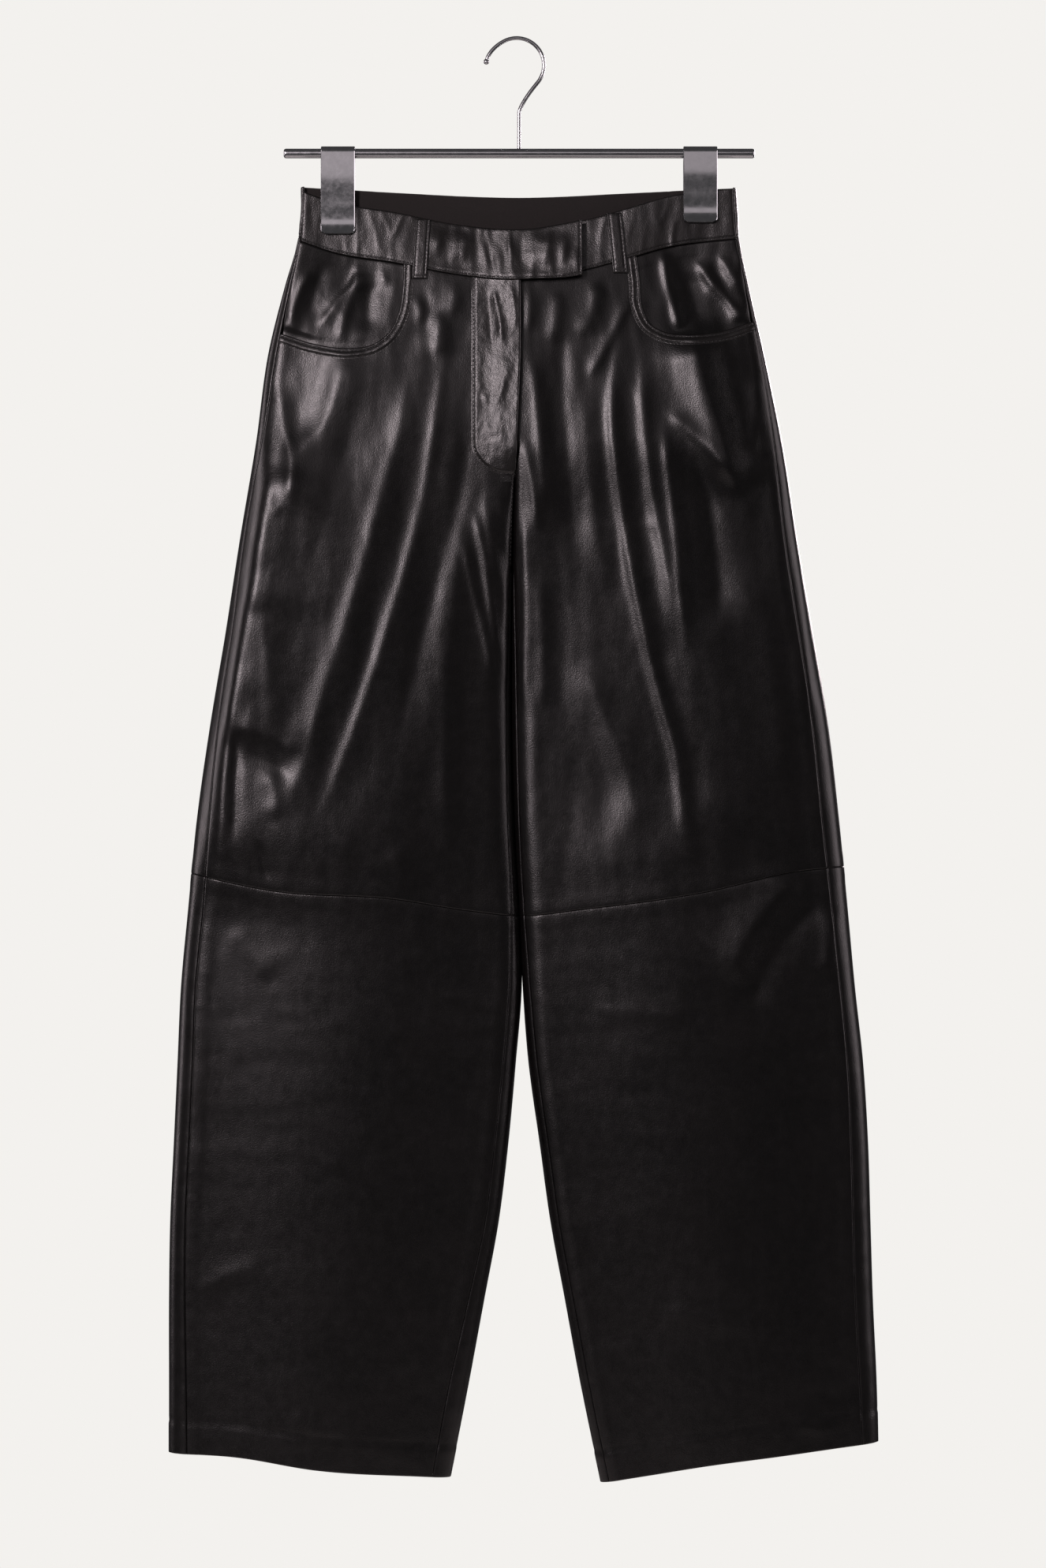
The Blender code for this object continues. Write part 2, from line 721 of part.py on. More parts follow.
def cut_pocket_mouth(panel, side):
    """Takes the scoop out of the panel's upper outer corner."""
    mouth = mouth_curve(side, MOUTH_STEPS)
    beyond = side.sign * POCKET_CUT_BEYOND_X
    above = POCKET_CUT_TOP_Z
    outline = mouth + [(beyond, mouth[-1][1]), (beyond, above), (mouth[0][0], above)]
    shape = bmesh.new()
    front = [shape.verts.new((x, -POCKET_CUT_DEPTH, z)) for x, z in outline]
    shape.faces.new(front)
    grown = bmesh.ops.extrude_face_region(shape, geom=shape.faces[:])
    moved = [v for v in grown["geom"] if isinstance(v, bmesh.types.BMVert)]
    bmesh.ops.translate(shape, verts=moved, vec=(0.0, POCKET_CUT_DEPTH, 0.0))
    bmesh.ops.recalc_face_normals(shape, faces=shape.faces)
    data = bpy.data.meshes.new(f"cutter_pocket_{side.name}")
    shape.to_mesh(data)
    shape.free()
    cutter = bpy.data.objects.new(data.name, data)
    cutter.hide_render = True
    cutter.display_type = "WIRE"
    cutters().objects.link(cutter)
    cut = panel.modifiers.new("pocket_mouth", "BOOLEAN")
    cut.operation = "DIFFERENCE"
    cut.object = cutter


def cutters():
    found = bpy.data.collections.get("cutters")
    if found is None:
        found = bpy.data.collections.new("cutters")
        found.hide_render = True
        bpy.context.scene.collection.children.link(found)
    return found


def beside_outseam(side, z, gap):
    """The x that lies a gap inside the outseam."""
    return side.outer(z) - side.sign * (side.outseam_inset(z) + gap)


def pocket_facings(skin, collection):
    """The leather inside each scoop, tucked under the panel round its mouth."""
    for side in SIDES:
        mouth = mouth_curve(side, MOUTH_STEPS)
        inner_x = mouth[0][0] - side.sign * FACING_TUCK
        lowest = min(z for _, z in mouth) - FACING_TUCK
        spots = []
        outs = []
        for i in range(FACING_ROWS + 1):
            down = i / FACING_ROWS
            row = []
            lifts = []
            for j in range(FACING_COLUMNS + 1):
                across = j / FACING_COLUMNS
                z = lerp(WAIST_Z, lowest, down)
                for _ in range(SETTLING_PASSES):
                    outer_x = beside_outseam(side, z, FACING_TO_OUTSEAM)
                    x = lerp(outer_x, inner_x, across)
                    z = lerp(front_waist(x) - 2 * SEAM_GAP, lowest, down)
                sunk = facing_sunk(across, down)
                row.append(face_spot("front", x, z))
                lifts.append(-FACING_SINK * sunk)
            spots.append(row)
            outs.append(lifts)
        name = f"pocket_facing_{side.name}"
        sheet_object(name, spots, outs, FACING_WALL, skin, collection)


def facing_sunk(across, down):
    """0 where the facing meets the outseam, 1 where it is behind the panel."""
    run = FACING_SUNK_DOWN - FACING_SINKS_DOWN_FROM
    by_height = smoothstep((down - FACING_SINKS_DOWN_FROM) / run)
    return max(smoothstep(across / FACING_SUNK_ACROSS), by_height)


def pocket_edges(skin, collection):
    """The turned edge round each mouth, lying on the panel."""
    widths = (0.0, POCKET_EDGE_WIDTH / 2, POCKET_EDGE_WIDTH)
    for side in SIDES:
        mouth = mouth_curve(side, MOUTH_STEPS)
        spots = []
        for i, (x, z) in enumerate(mouth):
            before = mouth[max(i - 1, 0)]
            after = mouth[min(i + 1, len(mouth) - 1)]
            run_x = after[0] - before[0]
            run_z = after[1] - before[1]
            length = math.hypot(run_x, run_z)
            row = []
            for width in widths:
                px = x + side.sign * run_z / length * width
                pz = z - side.sign * run_x / length * width
                limit = beside_outseam(side, pz, POCKET_EDGE_TO_OUTSEAM)
                px = side.sign * min(side.sign * px, side.sign * limit)
                pz = min(pz, front_waist(px) - 3 * SEAM_GAP)
                row.append(face_spot("front", px, pz))
            spots.append(row)
        outs = level_outs(spots, LAY_GAP + POCKET_EDGE_WALL)
        name = f"pocket_edge_{side.name}"
        sheet_object(name, spots, outs, POCKET_EDGE_WALL, skin, collection)


# --------------------------------------------------------------------- the fly
def fly(skin, collection):
    """The fly's front: straight down its outer edge, rounded at the foot."""
    round_from = FLY_BOTTOM_Z + FLY_ROUND_HEIGHT
    spots = []
    for i in range(FLY_ROWS + 1):
        down = i / FLY_ROWS
        row = []
        for j in range(FLY_COLUMNS + 1):
            x = FLY_LEFT_X / 2
            for _ in range(SETTLING_PASSES):
                z = lerp(front_waist(x) - 2 * SEAM_GAP, FLY_BOTTOM_Z, down)
                right_x = RIGHT.inner(z) - SEAM_GAP
                fallen = min(max((round_from - z) / FLY_ROUND_HEIGHT, 0.0), 1.0)
                toe_x = right_x - FLY_TOE_WIDTH
                left_x = lerp(toe_x, FLY_LEFT_X, math.sqrt(1 - fallen**2))
                x = lerp(left_x, right_x, j / FLY_COLUMNS)
            row.append(face_spot("front", x, z))
        spots.append(row)
    outs = level_outs(spots, LAY_GAP + FLY_WALL)
    sheet_object("fly", spots, outs, FLY_WALL, skin, collection)


# --------------------------------------------------------------- the waistband
def band_height_at(waist, x, share):
    """A height within the band, from its lower edge (0) to its top (1)."""
    return waist(x) + lerp(SEAM_GAP / 2, BAND_HEIGHT, share)


def band_end(side, share):
    """Where a front half of the band meets the outseam, at one of its heights."""
    z = band_height_at(front_waist, side.outer(WAIST_Z), share)
    return beside_outseam(side, z, 2 * SEAM_GAP)


def front_band(name, side, inner_x, columns, skin, collection, lift):
    spots = []
    outs = []
    for i in range(BAND_ROWS + 1):
        share = 1 - i / BAND_ROWS
        row = []
        lifts = []
        for x in np.linspace(band_end(side, share), inner_x, columns + 1):
            raised = lift(x)
            past = smoothstep((x - UNDER_BAND_START_X) / (TAB_END_X - UNDER_BAND_START_X))
            drop = raised * past * TAB_DROP * (1 - share)
            z = band_height_at(front_waist, x, share) - drop
            row.append(face_spot("front", x, z))
            lifts.append(BAND_PROUD + raised * (BAND_WALL + LAY_GAP))
        spots.append(row)
        outs.append(lifts)
    sheet_object(name, spots, outs, BAND_WALL, skin, collection)


def tab_lift(x):
    """0 on the band itself, 1 where the tab lies over the other half."""
    run = TAB_LIES_OVER_FROM - TAB_RISES_FROM
    return smoothstep((x - TAB_RISES_FROM) / run)


def no_lift(x):
    return 0.0


def waistband(skin, collection):
    front_band(
        "waistband_front_right",
        RIGHT,
        TAB_END_X,
        TAB_BAND_COLUMNS,
        skin,
        collection,
        tab_lift,
    )
    front_band(
        "waistband_front_left",
        LEFT,
        UNDER_BAND_START_X,
        BAND_COLUMNS,
        skin,
        collection,
        no_lift,
    )

    spots = []
    for i in range(BAND_ROWS + 1):
        share = 1 - i / BAND_ROWS
        left = back_band_stretch(LEFT, share)
        right = back_band_stretch(RIGHT, share)
        spots.append(left + right[-2::-1])
    outs = level_outs(spots, BAND_PROUD)
    sheet_object("waistband_back", spots, outs, BAND_WALL, skin, collection)


def back_band_stretch(side, share):
    """The back band's spots on one side, from the outseam to the centre."""
    row = []
    for column in range(BAND_COLUMNS + 1):
        even = column / BAND_COLUMNS
        eased = 1 - math.cos(math.pi / 2 * even)
        x = side.sign * FIRST_X
        for _ in range(SETTLING_PASSES):
            z = band_height_at(back_waist, x, share)
            section = ring(side, z)
            marks = section[3]
            start = marks["whole"] + marks["outseam"] - SEAM_GAP
            end = marks["back_corner"]
            place = lerp(start, end, lerp(even, eased, CROWD_TO_SEAMS))
            x = np.interp(place % marks["whole"], section[2], section[0])
        row.append(Spot(side, z, place, section))
    return row


# -------------------------------------------------------------- the belt loops
def belt_loops(skin, collection):
    for loop in LOOPS:
        waist = front_waist if loop.face == "front" else back_waist
        top_z = waist(loop.x * MM) + BAND_HEIGHT - LOOP_TOP_MARGIN
        foot_z = waist(loop.x * MM) - LOOP_FOOT
        spots = []
        outs = []
        for i in range(LOOP_ROWS + 1):
            down = i / LOOP_ROWS
            centre = (loop.x + loop.lean * down) * MM
            places = [centre + share * LOOP_WIDTH for share in (-0.5, 0.0, 0.5)]
            z = lerp(top_z, foot_z, down)
            spots.append([face_spot(loop.face, x, z) for x in places])
            arch = LOOP_ARCH * math.sin(math.pi * min(down / LOOP_ARCH_REACH, 1.0))
            outs.append([LAY_GAP + BAND_PROUD + LOOP_WALL + arch] * len(places))
        sheet_object(loop.name, spots, outs, LOOP_WALL, skin, collection)


# ------------------------------------------------------------------ the hanger
def wire(name, points, radius, skin, collection):
    """A round wire through points of x, z and thickness, 1 being its own."""
    curve = bpy.data.curves.new(name, "CURVE")
    curve.dimensions = "3D"
    spline = curve.splines.new("POLY")
    spline.points.add(len(points) - 1)
    for place, (x, z, thickness) in zip(spline.points, points):
        place.co = (x, 0.0, z, 1.0)
        place.radius = thickness
    curve.bevel_depth = radius
    curve.bevel_resolution = 2
    curve.use_fill_caps = True
    curve.materials.append(skin)
    made = bpy.data.objects.new(name, curve)
    collection.objects.link(made)
    return made


def hook_points():
    """The hook's middle line: shank, lean to the neck, the round and its ball."""
    centre_z = HOOK_WIRE_R - HOOK_R
    round_part = []
    for i in range(HOOK_STEPS + 1):
        angle = lerp(HOOK_NECK_ANGLE, HOOK_TIP_ANGLE, i / HOOK_STEPS)
        opened = smoothstep((angle - HOOK_SPREADS_FROM) / HOOK_SPREAD_TURN)
        x = HOOK_R * (1 + HOOK_TIP_SPREAD * opened) * math.cos(angle)
        round_part.append((x, centre_z + HOOK_R * math.sin(angle), 1.0))
    neck_x, neck_z, _ = round_part[0]
    lean = []
    for i in range(1, HOOK_LEAN_STEPS):
        t = i / HOOK_LEAN_STEPS
        x = lerp(HANGER_X, neck_x, t**HOOK_LEAN_BOW)
        lean.append((x, lerp(HOOK_BEND_Z, neck_z, t), 1.0))
    foot = BAR_Z + BAR_R + SEAM_GAP
    shank = [(HANGER_X, foot, 1.0), (HANGER_X, HOOK_BEND_Z, 1.0)]
    return shank + lean + round_part + tip_ball(round_part[-2], round_part[-1])


def tip_ball(before, tip):
    """The ball that ends the wire, as thicker points beyond its tip."""
    run_x = tip[0] - before[0]
    run_z = tip[1] - before[1]
    length = math.hypot(run_x, run_z)
    neck = math.sqrt(HOOK_TIP_BALL_R**2 - HOOK_WIRE_R**2)
    points = []
    for i in range(1, HOOK_BALL_STEPS + 1):
        along = lerp(-neck, HOOK_TIP_BALL_FLAT, i / HOOK_BALL_STEPS)
        thickness = math.sqrt(HOOK_TIP_BALL_R**2 - along**2) / HOOK_WIRE_R
        reach = (neck + along) / length
        points.append((tip[0] + run_x * reach, tip[1] + run_z * reach, thickness))
    return points


def hanger(metal, collection):
    wire("hanger_hook", hook_points(), HOOK_WIRE_R, metal, collection)

    half = BAR_LENGTH / 2
    bar_points = [(HANGER_X - half, BAR_Z, 1.0), (HANGER_X + half, BAR_Z, 1.0)]
    wire("hanger_bar", bar_points, BAR_R, metal, collection)

    for side in SIDES:
        clip(side, metal, collection)


def clip(side, metal, collection):
    """A sprung clip: one bent strip over the bar, closed on the waistband."""
    centre_x = HANGER_X + side.sign * CLIP_X_FROM_CENTRE
    band_top = front_waist(centre_x) + BAND_HEIGHT
    foot_z = band_top - CLIP_GRIP_DEPTH
    grip = []
    for dx in (-CLIP_WIDTH / 2, 0.0, CLIP_WIDTH / 2):
        for z in (band_top, foot_z):
            front = face_point("front", centre_x + dx, z, BAND_PROUD)
            back = face_point("back", centre_x + dx, z, BAND_PROUD)
            grip += [-front[1], back[1]]
    half_gap = max(grip) + CLIP_GAP
    seat_r = BAR_R + CLIP_GAP

    bend = []
    bend_r = seat_r + CLIP_WALL / 2
    for i in range(CLIP_BEND_STEPS + 1):
        angle = math.pi * i / CLIP_BEND_STEPS
        bend.append((-bend_r * math.cos(angle), BAR_Z + bend_r * math.sin(angle)))
    reach = half_gap + CLIP_WALL / 2
    front_leg = [
        (-reach - CLIP_LIP_FLARE, foot_z - CLIP_LIP_HEIGHT),
        (-reach, foot_z),
        (-reach, band_top - CLIP_SHOULDER_DROP),
        (-bend_r - CLIP_BELLY, (band_top + BAR_Z) / 2),
    ]
    back_leg = [(-y, z) for y, z in front_leg[::-1]]
    path = front_leg + bend + back_leg
    outline = strip_outline(path, CLIP_WALL / 2)

    curve = bpy.data.curves.new(f"hanger_clip_{side.name}", "CURVE")
    curve.dimensions = "2D"
    curve.fill_mode = "BOTH"
    curve.extrude = CLIP_WIDTH / 2
    spline = curve.splines.new("POLY")
    spline.points.add(len(outline) - 1)
    for place, (y, z) in zip(spline.points, outline):
        place.co = (y, z, 0.0, 1.0)
    spline.use_cyclic_u = True
    curve.materials.append(metal)
    made = bpy.data.objects.new(curve.name, curve)
    made.rotation_euler = (math.pi / 2, 0.0, math.pi / 2)
    made.location = (centre_x, 0.0, 0.0)
    collection.objects.link(made)


def strip_outline(path, half_wall):
    """The outline of a bent strip round its middle line."""
    one_side = []
    other_side = []
    for i, (y, z) in enumerate(path):
        before = path[max(i - 1, 0)]
        after = path[min(i + 1, len(path) - 1)]
        run_y = after[0] - before[0]
        run_z = after[1] - before[1]
        length = math.hypot(run_y, run_z)
        off_y = -run_z / length * half_wall
        off_z = run_y / length * half_wall
        one_side.append((y + off_y, z + off_z))
        other_side.append((y - off_y, z - off_z))
    return one_side + other_side[::-1]


# -------------------------------------------------------------------- the whole
def clear_scene():
    for thing in list(bpy.data.objects):
        bpy.data.objects.remove(thing, do_unlink=True)


def main():
    clear_scene()
    collection = bpy.data.collections.new("leather_trousers_on_clip_hanger")
    bpy.context.scene.collection.children.link(collection)
    skins = {
        "front": material("nappa_leather_front", "1f1b1b", 0.38),
        "back": material("nappa_leather_back", "1c1919", 0.40),
    }
    band_skin = material("nappa_leather_band", "221e1e", 0.36)
    trim_skin = material("nappa_leather_trim", "252020", 0.36)
    chrome = material("chromed_steel", "c9cbce", 0.15, 1.0)

    leg_panels(skins, collection)
    pocket_facings(trim_skin, collection)
    pocket_edges(trim_skin, collection)
    fly(trim_skin, collection)
    waistband(band_skin, collection)
    belt_loops(trim_skin, collection)
    hanger(chrome, collection)


main()
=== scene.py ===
# %% [markdown]
# # Leather trousers on a clip hanger
# A pair of wide-leg trousers in smooth black nappa hangs flat from a sprung clip
# hanger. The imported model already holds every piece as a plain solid. This
# lesson dresses those solids: finer leather with its creases, rolled seam edges,
# sewing thread, chromed wire, and the materials and light that make them read.
#
# Units are metres. +X is the wearer's left, -Y the front and +Z up, and the
# origin is where a rail carries the hook.

# %% Set-up
import math
from collections import namedtuple

import bmesh
import bpy
import numpy as np
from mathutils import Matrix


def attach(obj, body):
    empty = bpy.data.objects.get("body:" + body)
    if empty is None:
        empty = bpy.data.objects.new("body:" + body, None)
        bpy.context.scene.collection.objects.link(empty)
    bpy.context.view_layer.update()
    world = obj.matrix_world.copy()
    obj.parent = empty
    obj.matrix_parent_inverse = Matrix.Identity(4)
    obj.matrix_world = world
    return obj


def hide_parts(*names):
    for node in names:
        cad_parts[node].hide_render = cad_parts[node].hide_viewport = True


bpy.ops.wm.read_factory_settings(use_empty=True)
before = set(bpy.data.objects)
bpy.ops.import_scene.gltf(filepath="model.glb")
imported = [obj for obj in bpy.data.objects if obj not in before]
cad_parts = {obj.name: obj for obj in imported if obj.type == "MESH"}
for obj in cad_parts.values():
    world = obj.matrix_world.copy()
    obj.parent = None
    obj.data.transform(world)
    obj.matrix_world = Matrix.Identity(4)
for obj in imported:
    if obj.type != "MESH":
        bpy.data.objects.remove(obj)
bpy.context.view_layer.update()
MM = 0.001

# %% [markdown]
# ## The form of the cloth
# Trousers hung flat are two flattened tubes that join at the crotch. They could
# be sculpted, or draped by simulation, but their outline is known from sizes, so
# a table of sections is quicker and exact: one row says, at one height, where a
# leg's two edges are, how far in its seams lie, how thick it is and how round.
# These are the same numbers that the solids were made from.

# %% The table of sections
# Millimetres. Cleft is 0 where both sides run into each other, 1 on a round leg.
Section = namedtuple(
    "Section",
    "z outer_right outer_left inner_right inner_left outseam_right outseam_left"
    " inseam_right inseam_left depth cleft",
)
SECTIONS = [
    Section(-110, -178, 180, 3, 3, 2.0, 1.5, 3, 3, 6, 0.00),
    Section(-165, -181, 184, 3, 3, 2.0, 1.5, 3, 3, 7, 0.00),
    Section(-204, -192, 192, 3, 3, 5.0, 2.0, 3, 3, 10, 0.00),
    Section(-256, -205, 204, 3, 3, 7.5, 3.5, 3, 3, 15, 0.00),
    Section(-334, -216, 220, 0, 0, 6.0, 8.0, 3, 3, 21, 0.05),
    Section(-412, -229, 232, -3, -3, 5.5, 11, 3, 3, 25, 0.55),
    Section(-490, -241, 245, -4, -4, 8.0, 13, 3, 3, 27, 0.93),
    Section(-568, -254, 258, -4, -4, 9.5, 14, 4, 4, 27, 1.00),
    Section(-646, -265, 267, -2, -2, 13, 15, 5, 4, 26, 1.00),
    Section(-718, -272, 274, 2, 2, 13.5, 14, 7, 4, 25, 1.00),
    Section(-783, -278, 280, 4, 5, 13, 13, 10, 6, 24.5, 1.00),
    Section(-848, -281, 287, -1, 10, 13.5, 14, 10, 7, 24, 1.00),
    Section(-913, -284, 291, -7, 19, 13.5, 15, 11, 7, 23, 1.00),
    Section(-978, -287, 293, -15, 28, 13.5, 15.5, 11, 7, 22, 1.00),
    Section(-1043, -288, 295, -27, 40, 14, 15.5, 13, 7, 21.5, 1.00),
    Section(-1108, -288, 298, -39, 52, 15, 15, 16, 7, 21, 1.00),
    Section(-1200, -288, 300, -57, 71, 16, 13, 15, 7, 20, 1.00),
]

# Seams that cross the legs, as x and z of points along them, in millimetres.
FRONT_WAIST_SEAM = [
    (-190, -163), (-153, -176), (-101, -185), (-49, -195), (3, -199.5),
    (55, -191.5), (94, -181), (123, -172.5), (190, -164),
]  # fmt: skip
BACK_WAIST_SEAM = [(-190, -163), (-100, -168), (3, -172), (100, -168), (190, -164)]
KNEE_SEAM = [
    (-275, -689), (-199, -704.5), (-102, -711), (-38, -721), (2, -725),
    (55, -719.5), (159, -704.5), (224, -689.5), (275, -684),
]  # fmt: skip
HEM_RIGHT = [(-288, -1169), (-231, -1172), (-167, -1182), (-55, -1189.5)]
HEM_LEFT = [(69, -1194), (107, -1187.5), (159, -1178.5), (224, -1170), (300, -1160)]
POCKET_MOUTH_RIGHT = [
    (-93, -184), (-93.5, -204), (-97, -227), (-105, -243.5),
    (-119, -254), (-135, -257), (-166, -253.5), (-194.5, -244.6),
]  # fmt: skip
POCKET_MOUTH_LEFT = [
    (98, -178), (101, -201), (103, -223), (110, -236.5),
    (122, -243.5), (140, -245.5), (170, -242.5), (195.5, -234.4),
]  # fmt: skip
print("sections:", len(SECTIONS))


# %% [markdown]
# ### Smooth curves through the tables
# A cubic curve through each column gives its value at any height. Everything
# here works on whole arrays, so that a hundred thousand cloth points take
# seconds, not minutes.


# %% Curves and blends
def smooth_curve(places, values):
    """A cubic curve through values at places. Past its ends it stays level."""
    order = np.argsort(places)
    places = np.asarray(places, float)[order]
    values = np.asarray(values, float)[order]
    slopes = np.gradient(values, places)

    def at(place):
        place = np.clip(place, places[0], places[-1])
        i = np.clip(np.searchsorted(places, place) - 1, 0, len(places) - 2)
        span = places[i + 1] - places[i]
        t = (place - places[i]) / span
        return (
            (2 * t**3 - 3 * t**2 + 1) * values[i]
            + (t**3 - 2 * t**2 + t) * slopes[i] * span
            + (3 * t**2 - 2 * t**3) * values[i + 1]
            + (t**3 - t**2) * slopes[i + 1] * span
        )

    return at


def smoothstep(t):
    """0 up to 0 and 1 from 1, with a soft rise between."""
    t = np.clip(t, 0.0, 1.0)
    return t * t * (3 - 2 * t)


def lerp(start, end, t):
    """The value a share t of the way from start to end."""
    return start + (end - start) * t


def run_along(points):
    """How far along a line each of its points lies."""
    steps = np.hypot(*np.diff(points, axis=0).T)
    return np.concatenate([[0.0], np.cumsum(steps)])


def directions(path):
    """The unit direction of a path at each of its points."""
    ahead = np.gradient(path, axis=0)
    return ahead / np.linalg.norm(ahead, axis=1)[:, None]


def seam_line(points):
    """The height of a seam at any x."""
    x, z = np.array(points).T * MM
    return smooth_curve(x, z)


def column_curve(column):
    """One column of the sections, at any height."""
    scale = 1.0 if column == "cleft" else MM
    heights = [row.z * MM for row in SECTIONS]
    return smooth_curve(heights, [getattr(row, column) * scale for row in SECTIONS])


DEPTH_AT = column_curve("depth")
CLEFT_AT = column_curve("cleft")
front_waist = seam_line(FRONT_WAIST_SEAM)
back_waist = seam_line(BACK_WAIST_SEAM)
knee = seam_line(KNEE_SEAM)
print("waist seam at the centre:", round(float(front_waist(0.003)) * 1000, 1), "mm")

# %% [markdown]
# ### One closed section
# A flattened tube has a rounded edge that runs into a slow crown. The points go
# from the outer edge over the front, down the inner edge and back over the back,
# and the marks say how far along that line each seam lies.

# %% Sections at every level
# Panels meet edge to edge here, in sewn seams. The solids keep a gap between them.
EDGE_DEPTH_SHARE = 0.62
EDGE_DEPTH_LEAST = 5.2 * MM
EDGE_WIDTH_TO_DEPTH = 1.3
EDGE_POINTS = 20
CROWN_POINTS = 14
CLEFT_POINTS = 12
CLEFT_OPENS = 0.3
CLEFT_FILLET = 4 * MM
CLEFT_FILLET_SHARE = 0.8
LEGS_OVERLAP = 0.04 * MM
CROTCH_Z = -441 * MM
CROTCH_DEPTH_SHARE = 0.35
INSEAM_SURFACES_Z = -640 * MM
LEVELS = np.arange(-1212, -100, 2) * MM
Ring = namedtuple("Ring", "x y run front_corner back_corner outseam inseam whole square")


class Side:
    """One half of the trousers: the edges of its leg and its seams' offsets."""

    def __init__(self, name, sign, hem, mouth):
        self.name = name
        self.sign = sign
        self.hem = seam_line(hem)
        self.mouth = np.array(mouth) * MM
        self.outer = column_curve("outer_" + name)
        self.inner_edge = column_curve("inner_" + name)
        self.outseam_inset = column_curve("outseam_" + name)
        self.inseam_inset = column_curve("inseam_" + name)
        self.rings = [section_ring(self, z) for z in LEVELS]

    def inner(self, z):
        """The inner edge. Both legs reach just past it, so that no gap shows."""
        return self.inner_edge(z) - self.sign * LEGS_OVERLAP


def edge_profile(depth, half):
    """Half the thickness, from the outer edge to the middle of the section."""
    edge = min(depth, max(EDGE_DEPTH_SHARE * depth, EDGE_DEPTH_LEAST))
    width = edge * EDGE_WIDTH_TO_DEPTH
    turn = np.linspace(0, math.pi / 2, EDGE_POINTS)
    flat = np.linspace(width, half, CROWN_POINTS)[1:]
    distance = np.concatenate([width * (1 - np.cos(turn)), flat])
    rounded = np.concatenate([edge * np.sin(turn), np.full(len(flat), edge)])
    crown = (depth - edge) * np.sin(math.pi / 2 * distance / half) ** 2
    return distance, rounded + crown


def section_ring(side, z):
    """A leg's whole section at one height, and where its seams lie on it."""
    outer, inner = side.outer(z), side.inner(z)
    depth = DEPTH_AT(z)
    cleft = float(np.clip(CLEFT_AT(z), 0, 1))
    distance, thick = edge_profile(depth, abs(inner - outer) / 2)
    inner_thick = lerp(depth, thick, cleft)
    fillet = CLEFT_FILLET * smoothstep(cleft / CLEFT_OPENS)
    fillet = min(fillet, CLEFT_FILLET_SHARE * inner_thick[0])
    if fillet > 0:
        short = 1 - np.minimum(distance / fillet, 1.0)
        inner_thick = inner_thick - fillet * (1 - np.sqrt(1 - short**2))
    towards, beyond = side.sign * distance, side.sign * distance[-2::-1]
    front_x = np.concatenate([outer - towards, inner + beyond])
    front_y = -np.concatenate([thick, inner_thick[-2::-1]])
    wall_y = np.linspace(front_y[-1], -front_y[-1], CLEFT_POINTS)[1:-1]
    x = np.concatenate([front_x, np.full(len(wall_y), inner), front_x[::-1]])
    y = np.concatenate([front_y, wall_y, -front_y[::-1]])
    run = run_along(np.stack([x, y], axis=-1))
    last_front = len(front_x) - 1
    first_back = last_front + len(wall_y) + 1
    surfaced = np.interp(side.inseam_inset(z), distance, thick) / depth
    emerge = smoothstep((CROTCH_Z - z) / (CROTCH_Z - INSEAM_SURFACES_Z))
    share = lerp(CROTCH_DEPTH_SHARE, surfaced, emerge)
    inner_part = slice(len(distance), first_back)
    return Ring(
        x, y, run,
        front_corner=run[last_front],
        back_corner=run[first_back],
        outseam=np.interp(side.outseam_inset(z), distance, run[: len(distance)]),
        inseam=np.interp(-depth * share, y[inner_part], run[inner_part]),
        whole=run[-1],
        square=cleft < CLEFT_OPENS,
    )  # fmt: skip


RIGHT = Side("right", -1, HEM_RIGHT, POCKET_MOUTH_RIGHT)
LEFT = Side("left", 1, HEM_LEFT, POCKET_MOUTH_LEFT)
SIDES = (RIGHT, LEFT)
print("sections worked out:", sum(len(side.rings) for side in SIDES))


# %% [markdown]
# ### Points on a section, and on the front or back
# Each point carries the outward direction of its section, so that walls, relief
# and stitches can be moved out along it. For whatever lies on one face, such as
# the fly or a belt loop, a second look-up answers by x and z.


# %% Points and their outward directions
NORMAL_STEP = 0.4 * MM


def ring_points(side, ring, places):
    """x, y and the outward direction at places along a section."""
    places = places % ring.whole
    before = places - NORMAL_STEP
    after = places + NORMAL_STEP
    if ring.square:
        on_front = places <= ring.front_corner
        after = np.where(on_front, np.minimum(after, ring.front_corner), after)
        on_back = places >= ring.back_corner
        before = np.where(on_back, np.maximum(before, ring.back_corner), before)
    at = [np.interp(p % ring.whole, ring.run, ring.x) for p in (places, before, after)]
    up = [np.interp(p % ring.whole, ring.run, ring.y) for p in (places, before, after)]
    run_x, run_y = at[2] - at[1], up[2] - up[1]
    length = np.hypot(run_x, run_y)
    return at[0], up[0], -side.sign * run_y / length, side.sign * run_x / length


FACE_X = np.arange(-306, 307) * MM


def face_table(sign):
    """y and its slope over x for one face at every level: front -1, back 1."""
    heights = np.empty((len(LEVELS), len(FACE_X)))
    for level, rings in enumerate(zip(RIGHT.rings, LEFT.rings)):
        middle = RIGHT.inner_edge(LEVELS[level])
        for side, ring in zip(SIDES, rings):
            mine = FACE_X <= middle if side is RIGHT else FACE_X > middle
            front = slice(0, np.argmax(ring.run == ring.front_corner) + 1)
            xs, ys = ring.x[front], np.abs(ring.y[front])
            order = np.argsort(xs, kind="stable")
            heights[level, mine] = np.interp(FACE_X[mine], xs[order], ys[order])
    return sign * heights, np.gradient(sign * heights, FACE_X, axis=1)


FACES = {"front": face_table(-1), "back": face_table(1)}


